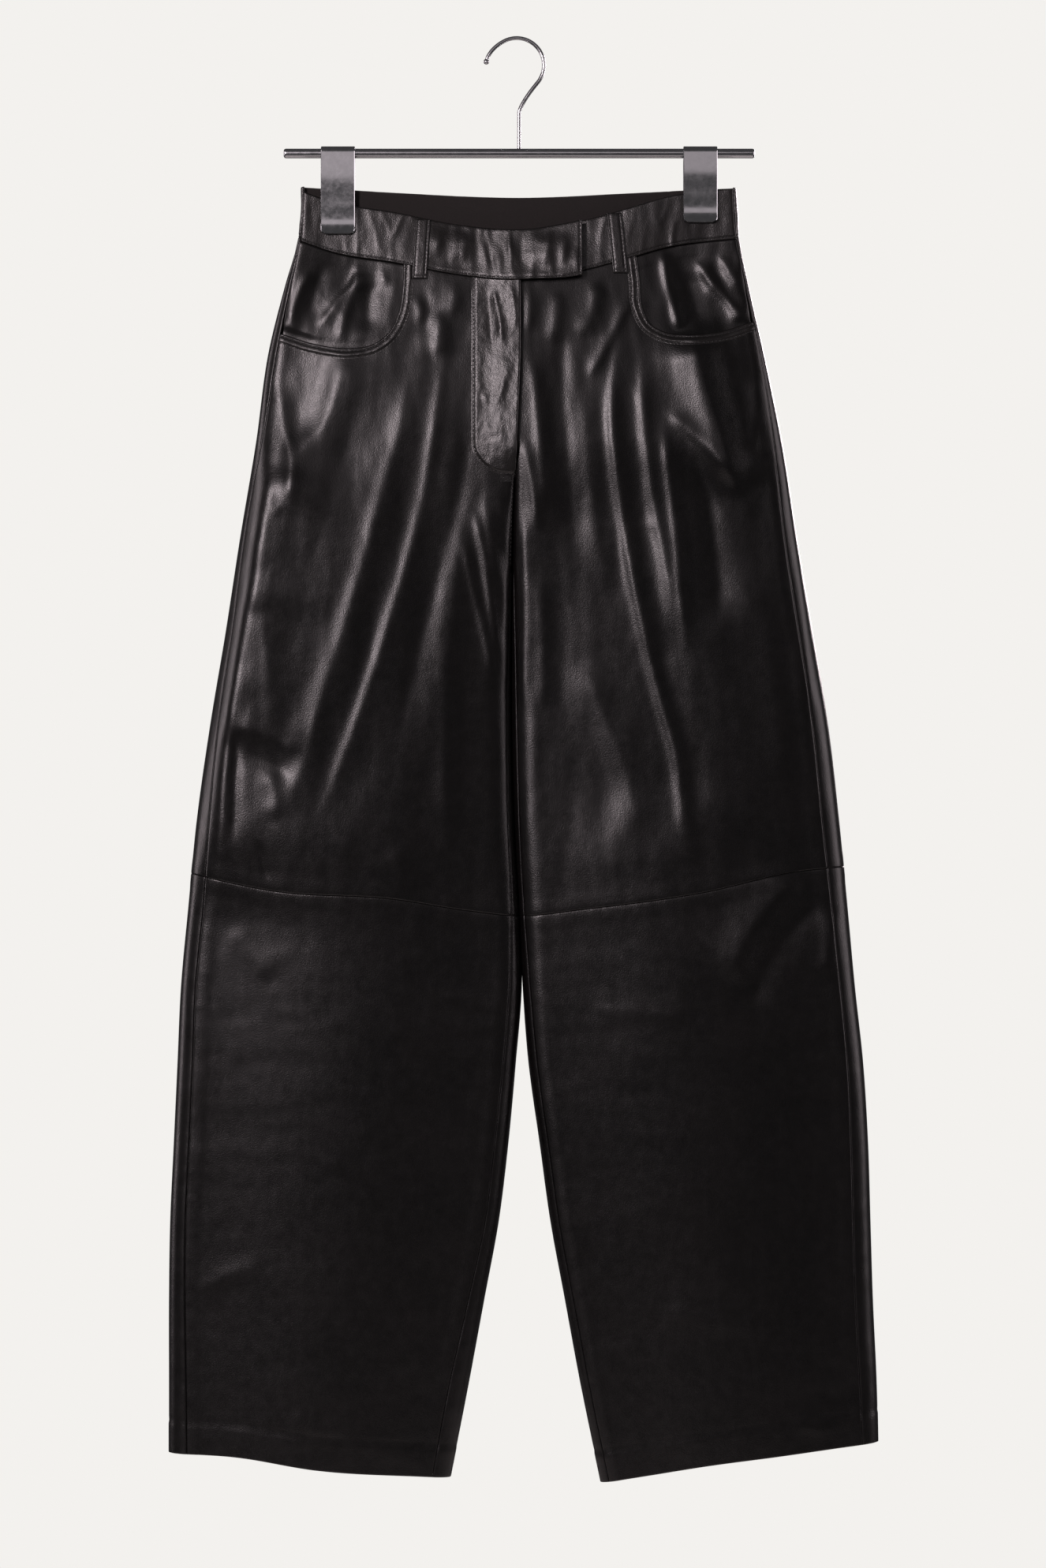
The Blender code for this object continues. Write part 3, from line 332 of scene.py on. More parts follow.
def on_face(face, x, z):
    """y and the outward direction on the front or back at x and z."""
    u = np.clip((x - FACE_X[0]) / MM, 0, len(FACE_X) - 1.001)
    v = np.clip((z - LEVELS[0]) / (LEVELS[1] - LEVELS[0]), 0, len(LEVELS) - 1.001)
    i, j = u.astype(int), v.astype(int)
    fu, fv = u - i, v - j

    def blend(table):
        low = lerp(table[j, i], table[j, i + 1], fu)
        return lerp(low, lerp(table[j + 1, i], table[j + 1, i + 1], fu), fv)

    y, slope = (blend(table) for table in FACES[face])
    sign = -1 if face == "front" else 1
    length = np.hypot(slope, 1.0)
    return y, -sign * slope / length, sign / length


print("front depth at the thigh:", on_face("front", np.array([0.1]), np.array([-0.5]))[0])

# %% [markdown]
# ## Creases
# Nappa is soft but springy. Hung from two clips, it falls from the hips in long
# ridges that fan out towards the knees, with shallow hollows between. Noise
# alone can't give that, so the main ones are listed one by one, each a line of
# points with a height, a width and a lean (the flank that is steeper). Random
# ripples only soften what lies between them.

# %% The creases of the front
# Millimetres, and each path is x and z. Width is the flank towards -X, which the
# main light reaches, and tail the one towards +X. On a crease that runs sideways
# they are its lower and upper flanks. A hollow has a height below 0.
Crease = namedtuple("Crease", "height width tail path")
FRONT_CREASES = [
    # the wearer's right thigh, from the outseam inwards
    Crease(1.8, 7, 7, [(-195, -282), (-192, -318), (-186, -345), (-184, -385)]),
    Crease(3.6, 13, 22, [(-138, -250), (-149, -295), (-160, -323), (-176, -342),
                         (-182, -366), (-183, -400)]),
    Crease(3.0, 9, 45, [(-197, -350), (-204, -395), (-211, -440), (-216, -480)]),
    Crease(2.6, 8, 34, [(-213, -440), (-221, -490), (-230, -540), (-237, -590)]),
    Crease(9.5, 13, 110, [(-192, -300), (-208, -400), (-224, -500), (-238, -600),
                          (-243, -670), (-246, -740)]),
    Crease(-5.5, 60, 40, [(-74, -310), (-98, -410), (-122, -505), (-145, -600),
                          (-160, -670)]),
    Crease(2.5, 9, 18, [(-83, -246), (-91, -295), (-100, -339), (-113, -386),
                        (-130, -451), (-153, -525), (-177, -607), (-197, -664)]),
    Crease(2.1, 6.5, 13, [(-56, -234), (-61, -275), (-66, -310), (-79, -391),
                        (-99, -464), (-118, -525), (-142, -594), (-172, -674)]),
    Crease(1.9, 12, 12, [(-38, -370), (-48, -425), (-54, -477), (-58, -523),
                         (-59, -588), (-56, -690)]),
    Crease(2.2, 7, 9, [(-27, -366), (-20, -425), (-12, -458), (-10, -497),
                       (-9, -545)]),
    Crease(1.2, 5, 6, [(-14, -376), (-11, -400), (-7, -432)]),
    Crease(1.8, 3.2, 4, [(-36, -386), (-28, -425), (-20, -477), (-15, -519)]),
    Crease(1.5, 3.2, 4, [(-44, -412), (-36, -454), (-24, -503), (-18, -536)]),
    Crease(0.7, 3, 4, [(-206, -387), (-198, -392), (-188, -388)]),
    Crease(-1.2, 14, 20, [(-118, -262), (-138, -330), (-158, -400), (-172, -465),
                          (-184, -545)]),
    Crease(-1.4, 10, 10, [(-34, -300), (-48, -380), (-66, -450), (-84, -520),
                          (-104, -605)]),
    # the dent beside the right knee
    Crease(1.8, 8, 15, [(-236, -569), (-205, -575), (-174, -592)]),
    Crease(-1.2, 9, 9, [(-232, -592), (-205, -599), (-180, -612)]),
    Crease(-1.5, 4, 5, [(-229, -566), (-231, -610), (-233, -668)]),
    Crease(1.8, 9, 9, [(-204, -600), (-198, -622), (-200, -650)]),
    Crease(0.9, 7, 12, [(-207, -470), (-204, -520), (-203, -572)]),
    Crease(-1.0, 4, 5, [(-213, -660), (-208, -680), (-204, -702)]),
    Crease(1.2, 9, 9, [(-112, -668), (-92, -688), (-80, -704)]),
    Crease(-1.2, 12, 12, [(-214, -420), (-222, -480), (-226, -540)]),
    # between the right belt loop and the fly
    Crease(1.3, 5, 6, [(-86, -208), (-80, -222), (-81, -242)]),
    Crease(2.0, 8, 10, [(-64, -222), (-64, -245), (-67, -268)]),
    Crease(1.7, 8, 9, [(-50, -197), (-52, -215), (-56, -236)]),
    Crease(-1.2, 6, 6, [(-76, -205), (-74, -228), (-78, -250)]),
    # the wearer's left, beside the centre seam
    Crease(1.3, 5, 6, [(12, -203), (11, -225), (9, -248)]),
    Crease(1.5, 7, 8, [(34, -204), (33, -230), (28, -256)]),
    Crease(2.0, 8, 9, [(67, -197), (63, -220), (55, -250)]),
    Crease(1.8, 6, 8, [(12, -255), (17, -310), (22, -360), (24, -400)]),
    Crease(1.5, 4, 5, [(6, -330), (13, -372), (18, -412)]),
    Crease(1.4, 4, 6, [(5, -385), (7, -460), (5, -565)]),
    Crease(1.2, 6, 8, [(18, -440), (22, -500), (20, -560)]),
    Crease(-1.6, 10, 9, [(38, -228), (37, -290), (43, -360), (47, -440)]),
    # the wearer's left thigh, from the centre outwards
    Crease(1.1, 7, 11, [(55, -280), (58, -326), (61, -369), (67, -412),
                        (75, -460)]),
    Crease(-6.0, 82, 48, [(98, -330), (103, -420), (110, -510), (116, -600),
                          (119, -680)]),
    Crease(2.0, 12, 18, [(52, -512), (68, -548), (83, -588), (94, -620),
                         (101, -670)]),
    Crease(2.9, 5.4, 11, [(94, -224), (85, -252), (80, -282), (79, -326),
                        (83, -360), (90, -412), (105, -490), (120, -551),
                        (131, -590), (138, -653), (142, -698)]),
    Crease(2.5, 6.5, 9, [(103, -256), (104, -304), (108, -347), (112, -378),
                       (119, -412), (133, -500)]),
    Crease(9.6, 22, 22, [(141, -236), (153, -285), (166, -325), (184, -378)]),
    Crease(2.2, 6, 9, [(121, -306), (134, -318), (153, -335), (172, -357),
                       (186, -382)]),
    Crease(2.5, 5, 9, [(121, -310), (123, -340), (128, -382), (132, -412),
                       (135, -455), (141, -512)]),
    Crease(1.6, 8, 8, [(197, -276), (198, -310), (195, -348)]),
    Crease(1.5, 5, 5, [(96, -210), (79, -244), (58, -284)]),
    Crease(0.4, 3, 5, [(98, -400), (108, -403), (119, -405)]),
    Crease(-3.0, 12, 12, [(142, -338), (156, -372), (164, -420), (168, -490)]),
    Crease(-1.8, 12, 12, [(112, -480), (124, -530), (140, -590), (152, -650)]),
    Crease(2.2, 20, 22, [(196, -420), (204, -480), (212, -560), (216, -640)]),
    Crease(1.3, 7, 8, [(232, -430), (238, -500), (242, -560)]),
    # below the left knee, then the nearly smooth lower legs
    Crease(5.0, 20, 14, [(238, -690), (213, -712), (191, -742), (173, -786)]),
    Crease(-2.6, 12, 12, [(254, -706), (229, -732), (206, -764), (189, -808)]),
    Crease(1.2, 7, 7, [(262, -720), (258, -750), (250, -780)]),
    Crease(0.9, 12, 12, [(-236, -732), (-215, -760), (-198, -778)]),
    Crease(0.7, 8, 8, [(-266, -1037), (-235, -1020), (-205, -1012)]),
    Crease(0.8, 8, 8, [(-192, -1139), (-165, -1147), (-138, -1150)]),
    Crease(0.8, 8, 8, [(223, -1134), (245, -1147), (264, -1150)]),
    Crease(0.6, 6, 6, [(-66, -788), (-34, -799), (-8, -801)]),
    Crease(0.5, 6, 6, [(-58, -811), (-30, -816), (-8, -814)]),
    Crease(0.7, 9, 9, [(60, -800), (110, -806), (150, -803)]),
    Crease(0.9, 13, 13, [(120, -1050), (170, -1058), (220, -1075)]),
]  # fmt: skip
print("front creases:", len(FRONT_CREASES))

# %% The creases of the back and of the pocket facings
BACK_CREASES = [
    Crease(3.2, 12, 16, [(-66, -246), (-86, -300), (-116, -370), (-152, -436)]),
    Crease(3.4, 11, 9, [(-122, -232), (-138, -285), (-168, -340), (-192, -384)]),
    Crease(3.6, 12, 15, [(-26, -326), (-50, -366), (-76, -402), (-104, -446)]),
    Crease(-2.8, 11, 11, [(-22, -408), (-55, -436), (-88, -456), (-122, -484)]),
    Crease(2.8, 11, 15, [(-58, -476), (-72, -540), (-96, -610), (-112, -684)]),
    Crease(3.2, 11, 15, [(-162, -426), (-172, -500), (-192, -580), (-207, -664)]),
    Crease(-2.0, 12, 12, [(-110, -430), (-128, -510), (-150, -600)]),
    Crease(1.6, 8, 10, [(-92, -206), (-97, -236), (-108, -266)]),
    Crease(3.4, 12, 10, [(68, -236), (88, -292), (116, -356), (142, -426)]),
    Crease(3.0, 11, 14, [(118, -246), (134, -296), (162, -350), (188, -406)]),
    Crease(3.4, 12, 10, [(25, -336), (46, -372), (72, -410), (98, -456)]),
    Crease(-2.8, 11, 11, [(20, -418), (52, -446), (86, -466), (118, -494)]),
    Crease(2.6, 13, 10, [(58, -486), (70, -545), (88, -612), (102, -676)]),
    Crease(3.0, 14, 10, [(158, -436), (170, -505), (188, -580), (202, -656)]),
    Crease(-2.0, 12, 12, [(112, -440), (128, -520), (146, -604)]),
    Crease(1.5, 8, 10, [(46, -204), (52, -232), (64, -262)]),
    Crease(2.4, 12, 12, [(-234, -736), (-196, -748), (-160, -764), (-118, -778)]),
    Crease(2.2, 12, 12, [(122, -772), (160, -762), (198, -748), (234, -731)]),
    Crease(-1.8, 11, 11, [(-226, -766), (-180, -782), (-136, -800)]),
    Crease(1.6, 13, 13, [(-204, -896), (-158, -914), (-108, -928)]),
    Crease(1.5, 13, 13, [(118, -932), (160, -922), (207, -906)]),
    Crease(1.0, 10, 10, [(-190, -1060), (-150, -1068), (-110, -1064)]),
    Crease(1.0, 10, 10, [(140, -1040), (180, -1052), (225, -1056)]),
]
FACING_CREASES = [
    Crease(2.5, 16, 50, [(-178, -150), (-184, -190), (-188, -260)]),
    Crease(1.6, 4.5, 7, [(-169, -188), (-180, -211), (-185, -228), (-187, -243)]),
    Crease(1.8, 4.5, 9, [(-130, -182), (-134, -200), (-144, -213), (-166, -242)]),
    Crease(1.6, 4.5, 8, [(-126, -190), (-137, -214), (-142, -230), (-147, -253)]),
    Crease(1.1, 5, 5, [(-112, -188), (-110, -198), (-106, -208)]),
    Crease(-1.5, 7, 7, [(-158, -184), (-167, -208), (-173, -236)]),
    Crease(-1.3, 9, 9, [(-119, -195), (-123, -220), (-126, -246)]),
    Crease(2.6, 5, 9, [(147, -180), (161, -201), (178, -220), (191, -240)]),
    Crease(2.6, 4.5, 8, [(121, -173), (124, -198), (129, -220), (137, -246)]),
    Crease(2.0, 5, 7, [(165, -174), (177, -194), (189, -214)]),
    Crease(1.1, 4, 5, [(184, -172), (187, -182), (190, -194)]),
    Crease(-1.6, 9, 9, [(138, -190), (147, -214), (152, -240)]),
    Crease(-1.2, 6, 6, [(158, -180), (172, -205), (184, -226)]),
]
print("back and facing creases:", len(BACK_CREASES), len(FACING_CREASES))


# %% [markdown]
# ### One crease
# A crease is measured in its own frame: how far along the line from its first to
# its last point, and how far to the side of the curve through them. It fades in
# at its top and out at its foot.


# %% How far a crease rises
CREASE_FADE_IN = 0.2
CREASE_FADE_OUT = 0.22
CREASE_FADE_LEAST = 16 * MM
CREST_SHARPNESS = 1.6


def crease_rise(crease, x, z):
    """How far one crease lifts the leather at x and z."""
    points = np.array(crease.path) * MM
    chord = points[-1] - points[0]
    length = math.hypot(*chord)
    ahead = chord / length
    beside = np.array([-ahead[1], ahead[0]])
    curve = smooth_curve((points - points[0]) @ ahead, (points - points[0]) @ beside)
    dx, dz = x - points[0, 0], z - points[0, 1]
    along = dx * ahead[0] + dz * ahead[1]
    off = dx * beside[0] + dz * beside[1] - curve(along)
    reach = np.where(off < 0, crease.width, crease.tail) * MM
    fade_in = min(max(CREASE_FADE_IN * length, CREASE_FADE_LEAST), length / 2)
    fade_out = min(max(CREASE_FADE_OUT * length, CREASE_FADE_LEAST), length / 2)
    fade = smoothstep(along / fade_in) * smoothstep((length - along) / fade_out)
    return crease.height * MM * fade * np.exp(-(np.abs(off / reach) ** CREST_SHARPNESS))


crest = crease_rise(FRONT_CREASES[1], np.array([-0.16]), np.array([-0.323]))
print("rise on a crest:", np.round(crest / MM, 2), "mm")

# %% [markdown]
# ### Soft waves between the creases
# Between its creases the leather is never quite flat. Layers of soft noise fill it,
# from a hand wide down to under a centimetre. Each layer has a fixed seed, so that
# every run draws the same one. They run down the thighs and across the calves.

# %% Soft waves
NOISE_CELLS = 64
NOISE_GAIN = 1.5
Wave = namedtuple("Wave", "height across down seed")


def soft_noise(u, v, seed):
    """Smooth random hills and dips about one unit across, from -1 to 1."""
    shape = (NOISE_CELLS, NOISE_CELLS)
    turn = np.random.default_rng(seed).uniform(0, 2 * math.pi, shape)
    iu, iv = np.floor(u).astype(int), np.floor(v).astype(int)
    fu, fv = u - iu, v - iv

    def corner(du, dv):
        angle = turn[(iu + du) % NOISE_CELLS, (iv + dv) % NOISE_CELLS]
        return np.cos(angle) * (fu - du) + np.sin(angle) * (fv - dv)

    near = lerp(corner(0, 0), corner(1, 0), smoothstep(fu))
    far = lerp(corner(0, 1), corner(1, 1), smoothstep(fu))
    return NOISE_GAIN * lerp(near, far, smoothstep(fv))


def waves(x, z, layers, seed=0):
    """Layers of soft noise, their heights and sizes in millimetres."""
    total = 0.0
    for wave in layers:
        u, v = x / (wave.across * MM), z / (wave.down * MM)
        total = total + wave.height * MM * soft_noise(u, v, seed + wave.seed)
    return total


THIGH_WAVES = [Wave(0.60, 30, 110, 0), Wave(0.30, 14, 46, 1)]
CALF_WAVES = [Wave(0.40, 62, 40, 2), Wave(0.14, 30, 12, 3)]
FINE_WAVES = [Wave(0.10, 7.5, 16, 4)]
HALF_WIDTH = 240 * MM
CALVES_END_Z = -800 * MM
CALVES_BLEND = 120 * MM


def ripples(x, z, seed):
    """Small soft waves: down the thighs, across the calves."""
    u = x / np.where(x < 0, -RIGHT.outer(z), LEFT.outer(z)) * HALF_WIDTH
    thigh = smoothstep((z - CALVES_END_Z) / CALVES_BLEND)
    fall, lie = (waves(u, z, layers, seed) for layers in (THIGH_WAVES, CALF_WAVES))
    return lerp(lie, fall, thigh) + waves(u, z, FINE_WAVES, seed)


there = np.linspace(-0.2, 0.2, 400)
print("waves reach:", np.round(np.ptp(ripples(there, there - 0.6, 11)) / MM, 2), "mm")

# %% [markdown]
# ### The relief as a whole
# The clips press front and back together at the waist. Everything that lies on
# the leather, from panels to stitches, is put in place by the last two functions,
# so that it follows the creases and the pinch.

# %% Relief, and points that follow it
PINCH_DEPTH_AT_CLIP = 3.2 * MM
PINCH_HALF_WIDTH = 40 * MM
PINCH_FADES_BY_Z = -262 * MM
PINCH_FADE_HEIGHT = 110 * MM
HANGER_X = 2 * MM
CLIP_X_FROM_CENTRE = 150 * MM
WAVES_START_Z = -185 * MM
WAVES_BLEND = 30 * MM
RELIEF = {"front": (FRONT_CREASES, 11), "back": (BACK_CREASES, 31)}


def bell(distance, width):
    """1 where the distance is 0, fading to nothing over about twice the width."""
    return np.exp(-((distance / width) ** 2))


def pinch(x, z):
    """How far the clips press the waist in, from 0 to 1."""
    off = x - HANGER_X
    right = bell(off + CLIP_X_FROM_CENTRE, PINCH_HALF_WIDTH)
    left = bell(off - CLIP_X_FROM_CENTRE, PINCH_HALF_WIDTH)
    return (right + left) * smoothstep((z - PINCH_FADES_BY_Z) / PINCH_FADE_HEIGHT)


def relief(face, x, z):
    """How far creases and waves lift the front or back at x and z."""
    creases, seed = RELIEF[face]
    rise = sum(crease_rise(crease, x, z) for crease in creases)
    below_band = smoothstep((WAVES_START_Z - z) / WAVES_BLEND)
    return rise + ripples(x, z, seed) * below_band


def raised(x, y, z, away_x, away_y, out):
    """Points on the cloth, moved out by the relief and by out."""
    facing = away_y**2
    rise = np.where(y < 0, relief("front", x, z), relief("back", x, z)) * facing
    rise = rise - np.maximum(np.abs(y) - PINCH_DEPTH_AT_CLIP, 0) * pinch(x, z) * facing
    reach = rise + out
    return np.stack([x + away_x * reach, y + away_y * reach, z], axis=-1)


def laid(face, x, z, out):
    """Points that lie on the front or back at x and z, moved out by out."""
    x, z, out = np.broadcast_arrays(x, z, out)
    y, away_x, away_y = on_face(face, x, z)
    return raised(x, y, z, away_x, away_y, out)


print("relief on the thigh:", relief("front", np.array([-0.12]), np.array([-0.42])))


# %% [markdown]
# ## Materials
# Colours are written as sRGB hex, as a colour picker gives them, and turned to
# linear in one place. One small helper adds a node with its settings and links.


# %% Colour and node helpers
def linear(hex_colour):
    """A colour picker's colour, as the shader wants it."""
    parts = [int(hex_colour[i : i + 2], 16) / 255 for i in (1, 3, 5)]
    return [p / 12.92 if p <= 0.04045 else ((p + 0.055) / 1.055) ** 2.4 for p in parts]


def add_node(tree, kind, settings=(), links=()):
    """Adds a node. Settings and links are pairs of a name or socket and a value."""
    node = tree.nodes.new(kind)
    for name, value in dict(settings).items():
        if isinstance(name, str) and hasattr(node, name):
            setattr(node, name, value)
        else:
            node.inputs[name].default_value = value
    for name, source in dict(links).items():
        tree.links.new(source, node.inputs[name])
    return node


def new_material(name, settings):
    """A material with its Principled shader and Object coordinates."""
    made = bpy.data.materials.new(name)
    made.use_nodes = True
    tree = made.node_tree
    shader = tree.nodes["Principled BSDF"]
    for socket, value in settings.items():
        shader.inputs[socket].default_value = value
    place = add_node(tree, "ShaderNodeTexCoord").outputs["Object"]
    return made, tree, shader, place


def noise(tree, place, size, **settings):
    """Random patches of about this size."""
    settings["Scale"] = 1 / size
    made = add_node(tree, "ShaderNodeTexNoise", settings, {"Vector": place})
    return made.outputs["Fac"]


def colour_between(tree, share, dark, light, start=0.0, end=1.0):
    """Dark where the share is at start, light where it is at end."""
    ramp = add_node(tree, "ShaderNodeValToRGB", links={"Fac": share})
    first, last = ramp.color_ramp.elements
    first.position, last.position = start, end
    first.color = (*linear(dark), 1)
    last.color = (*linear(light), 1)
    return ramp.outputs["Color"]


def value_between(tree, share, low, high):
    """Spreads noise, which mostly lies from 0.3 to 0.7, over a range."""
    span = {"From Min": 0.3, "From Max": 0.7, "To Min": low, "To Max": high}
    made = add_node(tree, "ShaderNodeMapRange", span, {"Value": share})
    return made.outputs["Result"]


def bump(tree, height, strength, depth, under=None, invert=False):
    """Tilts the surface by a height, on top of the bump under it."""
    settings = {"Strength": strength, "Distance": depth, "invert": invert}
    links = {"Height": height}
    if under is not None:
        links["Normal"] = under
    return add_node(tree, "ShaderNodeBump", settings, links).outputs["Normal"]


print("mid grey in linear light:", np.round(linear("#808080"), 3))

# %% [markdown]
# ### Nappa leather
# Nappa is full-grain lambskin, dyed through and finished with a thin clear
# dressing. The dressing gives the eye a soft satin gloss that slides along every
# crease, broken up by a grain of tiny rounded cells about 0.8 mm across, with
# finer pores, and by faint stretch lines. The black isn't even: it is a little
# browner where the skin was looser. Two skins differ slightly. The parts that
# were topstitched and handled have a stronger grain, and their waxier dressing
# mirrors more, which is what a higher IOR does. Their copy is also painted a
# little lighter: painted light, standing in for the brighter sheen they catch.

# %% The nappa material
CLOUD_SIZE = 55 * MM
CLOUD_FROM, CLOUD_TO = 0.35, 0.70
GLOSS_PATCH = 9 * MM
STRETCH_LINE = 5 * MM
STRETCH_DOWN = 0.45
STRETCH_DEPTH = 0.25 * MM
GRAIN_CELL = 0.85 * MM
GRAIN_DEPTH = 0.08 * MM
PORE_SIZE = 0.35 * MM
PORE_DEPTH = 0.03 * MM


def nappa(name, dark, light, smooth, rough, ior, grain):
    """Smooth and rough limit its roughness, and grain scales its relief."""
    made, tree, shader, place = new_material(name, {"IOR": ior})
    cloud = noise(tree, place, CLOUD_SIZE, Detail=4.0, Roughness=0.6)
    colour = colour_between(tree, cloud, dark, light, CLOUD_FROM, CLOUD_TO)
    tree.links.new(colour, shader.inputs["Base Color"])
    patches = noise(tree, place, GLOSS_PATCH, Detail=5.0, Roughness=0.7)
    gloss = value_between(tree, patches, smooth, rough)
    tree.links.new(gloss, shader.inputs["Roughness"])

    drawn_out = {"Scale": (1.0, 1.0, STRETCH_DOWN)}
    along = add_node(tree, "ShaderNodeMapping", drawn_out, {"Vector": place})
    along = along.outputs["Vector"]
    lines = noise(tree, along, STRETCH_LINE, Detail=3.0, Distortion=0.6)
    rounded = {"feature": "SMOOTH_F1", "Scale": 1 / GRAIN_CELL, "Smoothness": 0.6}
    cells = add_node(tree, "ShaderNodeTexVoronoi", rounded, {"Vector": place})
    cells = cells.outputs["Distance"]
    pores = noise(tree, place, PORE_SIZE, Detail=2.0)
    skin = bump(tree, lines, strength=0.28, depth=STRETCH_DEPTH)
    skin = bump(tree, cells, 1.0, GRAIN_DEPTH * grain, under=skin, invert=True)
    skin = bump(tree, pores, 0.6, PORE_DEPTH * grain, under=skin)
    tree.links.new(skin, shader.inputs["Normal"])
    return made


NAPPA = nappa(
    "nappa_black",
    dark="#080707", light="#0f0d0d", smooth=0.27, rough=0.35, ior=1.5, grain=1.0,
)  # fmt: skip
# Painted light: its lighter colours stand in for the brighter sheen that the band, loops,
# fly and pocket edges catch.
NAPPA_BAND_PAINTED_LIGHTER = nappa(
    "nappa_black_topstitched",
    dark="#0e0c0c", light="#1a1716", smooth=0.29, rough=0.38, ior=1.62, grain=1.5,
)  # fmt: skip
print("leathers:", NAPPA.name, NAPPA_BAND_PAINTED_LIGHTER.name)


# %% [markdown]
# ### The flesh side, thread, chrome
# The back of the skin is buffed like suede: black, dull and a little fuzzy. The
# sewing thread is bonded polyester, waxy and twisted. The hanger is steel wire
# and strip with bright chrome plating, which keeps a metal's default IOR.


# %% Suede, thread and chrome
NAP_SIZE = 1.2 * MM
NAP_DEPTH = 0.15 * MM
TWIST_SIZE = 0.5 * MM
HAZE_SIZE = 6 * MM
HAZE_DEPTH = 0.05 * MM


def suede_back():
    """Short fibres that scatter light: matt, with a faint pale fuzz at the edges."""
    settings = {"Roughness": 0.92, "Sheen Weight": 0.25, "Sheen Roughness": 0.5}
    made, tree, shader, place = new_material("flesh_side_suede", settings)
    nap = noise(tree, place, NAP_SIZE, Detail=4.0)
    colour = colour_between(tree, nap, "#171413", "#262120")
    tree.links.new(colour, shader.inputs["Base Color"])
    fuzz = bump(tree, nap, strength=0.5, depth=NAP_DEPTH)
    tree.links.new(fuzz, shader.inputs["Normal"])
    return made


def sewing_thread():
    """Dark and lighter specks, as the light catches the twist."""
    settings = {"Roughness": 0.5, "Sheen Weight": 0.3, "IOR": 1.5}
    made, tree, shader, place = new_material("bonded_polyester_thread", settings)
    twist = noise(tree, place, TWIST_SIZE, Detail=1.0)
    colour = colour_between(tree, twist, "#060505", "#191716")
    tree.links.new(colour, shader.inputs["Base Color"])
    return made


def chrome_plate():
    """A mirror, slightly hazed where it has been handled."""
    settings = {"Metallic": 1.0, "Base Color": (*linear("#c4c6c9"), 1)}
    made, tree, shader, place = new_material("chrome_plated_steel", settings)
    haze = noise(tree, place, HAZE_SIZE, Detail=6.0, Roughness=0.7)
    gloss = value_between(tree, haze, low=0.14, high=0.26)
    tree.links.new(gloss, shader.inputs["Roughness"])
    dulled = bump(tree, haze, strength=0.08, depth=HAZE_DEPTH)
    tree.links.new(dulled, shader.inputs["Normal"])
    return made


SUEDE = suede_back()
THREAD = sewing_thread()
CHROME = chrome_plate()
print("materials:", [made.name for made in (SUEDE, THREAD, CHROME)])


# %% [markdown]
# ## A leather shell
# Each piece of leather is a grid of points with an outer and an inner side that
# share their rim, so that the shell is closed. Near the rim the two sides curve
# towards each other, which gives the soft rolled edge that turned leather has. A
# topstitched edge also dips where the thread pulls it down.

# %% Grid lines and rolled rims
WALL = 1.5 * MM
RIM = np.array([0, 0.3, 0.8, 1.5]) * MM
STITCHED_RIM = np.array([0, 0.3, 0.8, 1.3, 1.8, 2.3, 3.1, 4.2]) * MM
NO_RIM = np.array([0.0])
STITCH_FROM_EDGE = 1.8 * MM
STITCH_DIP = 0.45 * MM
STITCH_DIP_WIDTH = 0.7 * MM


def spread(length, step, start=RIM, end=RIM):
    """Distances along a piece: crowded at its two rims, even between."""
    count = max(int(round((length - start[-1] - end[-1]) / step)), 1)
    middle = np.linspace(start[-1], length - end[-1], count + 1)
    return np.concatenate([start[:-1], middle, length - end[-2::-1]])


def rolled(distance):
    """0 away from the rim, 1 at the rim itself, as a quarter circle."""
    short = 1 - np.clip(distance / RIM[-1], 0, 1)
    return 1 - np.sqrt(1 - short**2)


def rolled_rim(from_side, width, from_top, length):
    """The roll of all four rims, over a piece's grid of points."""
    at_side = np.minimum(from_side, width - from_side)[None, :]
    at_end = np.minimum(from_top, length - from_top)[:, None]
    return np.maximum(rolled(at_side), rolled(at_end))


def stitch_dip(distance):
    """The groove along a topstitched edge."""
    return STITCH_DIP * bell(distance - STITCH_FROM_EDGE, STITCH_DIP_WIDTH)


print("rim lines:", len(RIM), "and", len(STITCHED_RIM))


# %% From grids of points to a piece
def add_piece(name, mesh, skins=()):
    """Shades a mesh smooth, gives it its skins and puts it in the scene."""
    mesh.polygons.foreach_set("use_smooth", [True] * len(mesh.polygons))
    for skin in skins:
        mesh.materials.append(skin)
    made = bpy.data.objects.new(name, mesh)
    bpy.context.scene.collection.objects.link(made)
    return made


def hand_over(made, node):
    """Lets a finished piece take the place of its plain solid."""
    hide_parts(node)
    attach(made, "root")


def leather_shell(name, outer, inner, skins):
    """A closed mesh of two grids of points that share their rim."""
    rows, columns = outer.shape[:2]
    index = np.arange(rows * columns).reshape(rows, columns)
    under = index.copy()
    hidden = (rows - 2) * (columns - 2)
    under[1:-1, 1:-1] = rows * columns + np.arange(hidden).reshape(rows - 2, columns - 2)
    points = np.concatenate([outer.reshape(-1, 3), inner[1:-1, 1:-1].reshape(-1, 3)])

    def quads(grid):
        corners = [grid[:-1, :-1], grid[1:, :-1], grid[1:, 1:], grid[:-1, 1:]]
        return np.stack(corners, axis=-1).reshape(-1, 4)

    a, b, c = outer[:-1, :-1], outer[1:, :-1], outer[:-1, 1:]
    thickness = (outer - inner)[:-1, :-1]
    outwards = (np.cross(b - a, c - a) * thickness).sum() > 0
    top, bottom = quads(index), quads(under)
    if outwards:
        bottom = bottom[:, ::-1]
    else:
        top = top[:, ::-1]
    mesh = bpy.data.meshes.new(name)
    mesh.from_pydata(points.tolist(), [], np.concatenate([top, bottom]).tolist())
    mesh.polygons.foreach_set("material_index", np.repeat([0, 1], len(top)))
    return add_piece(name, mesh, skins)


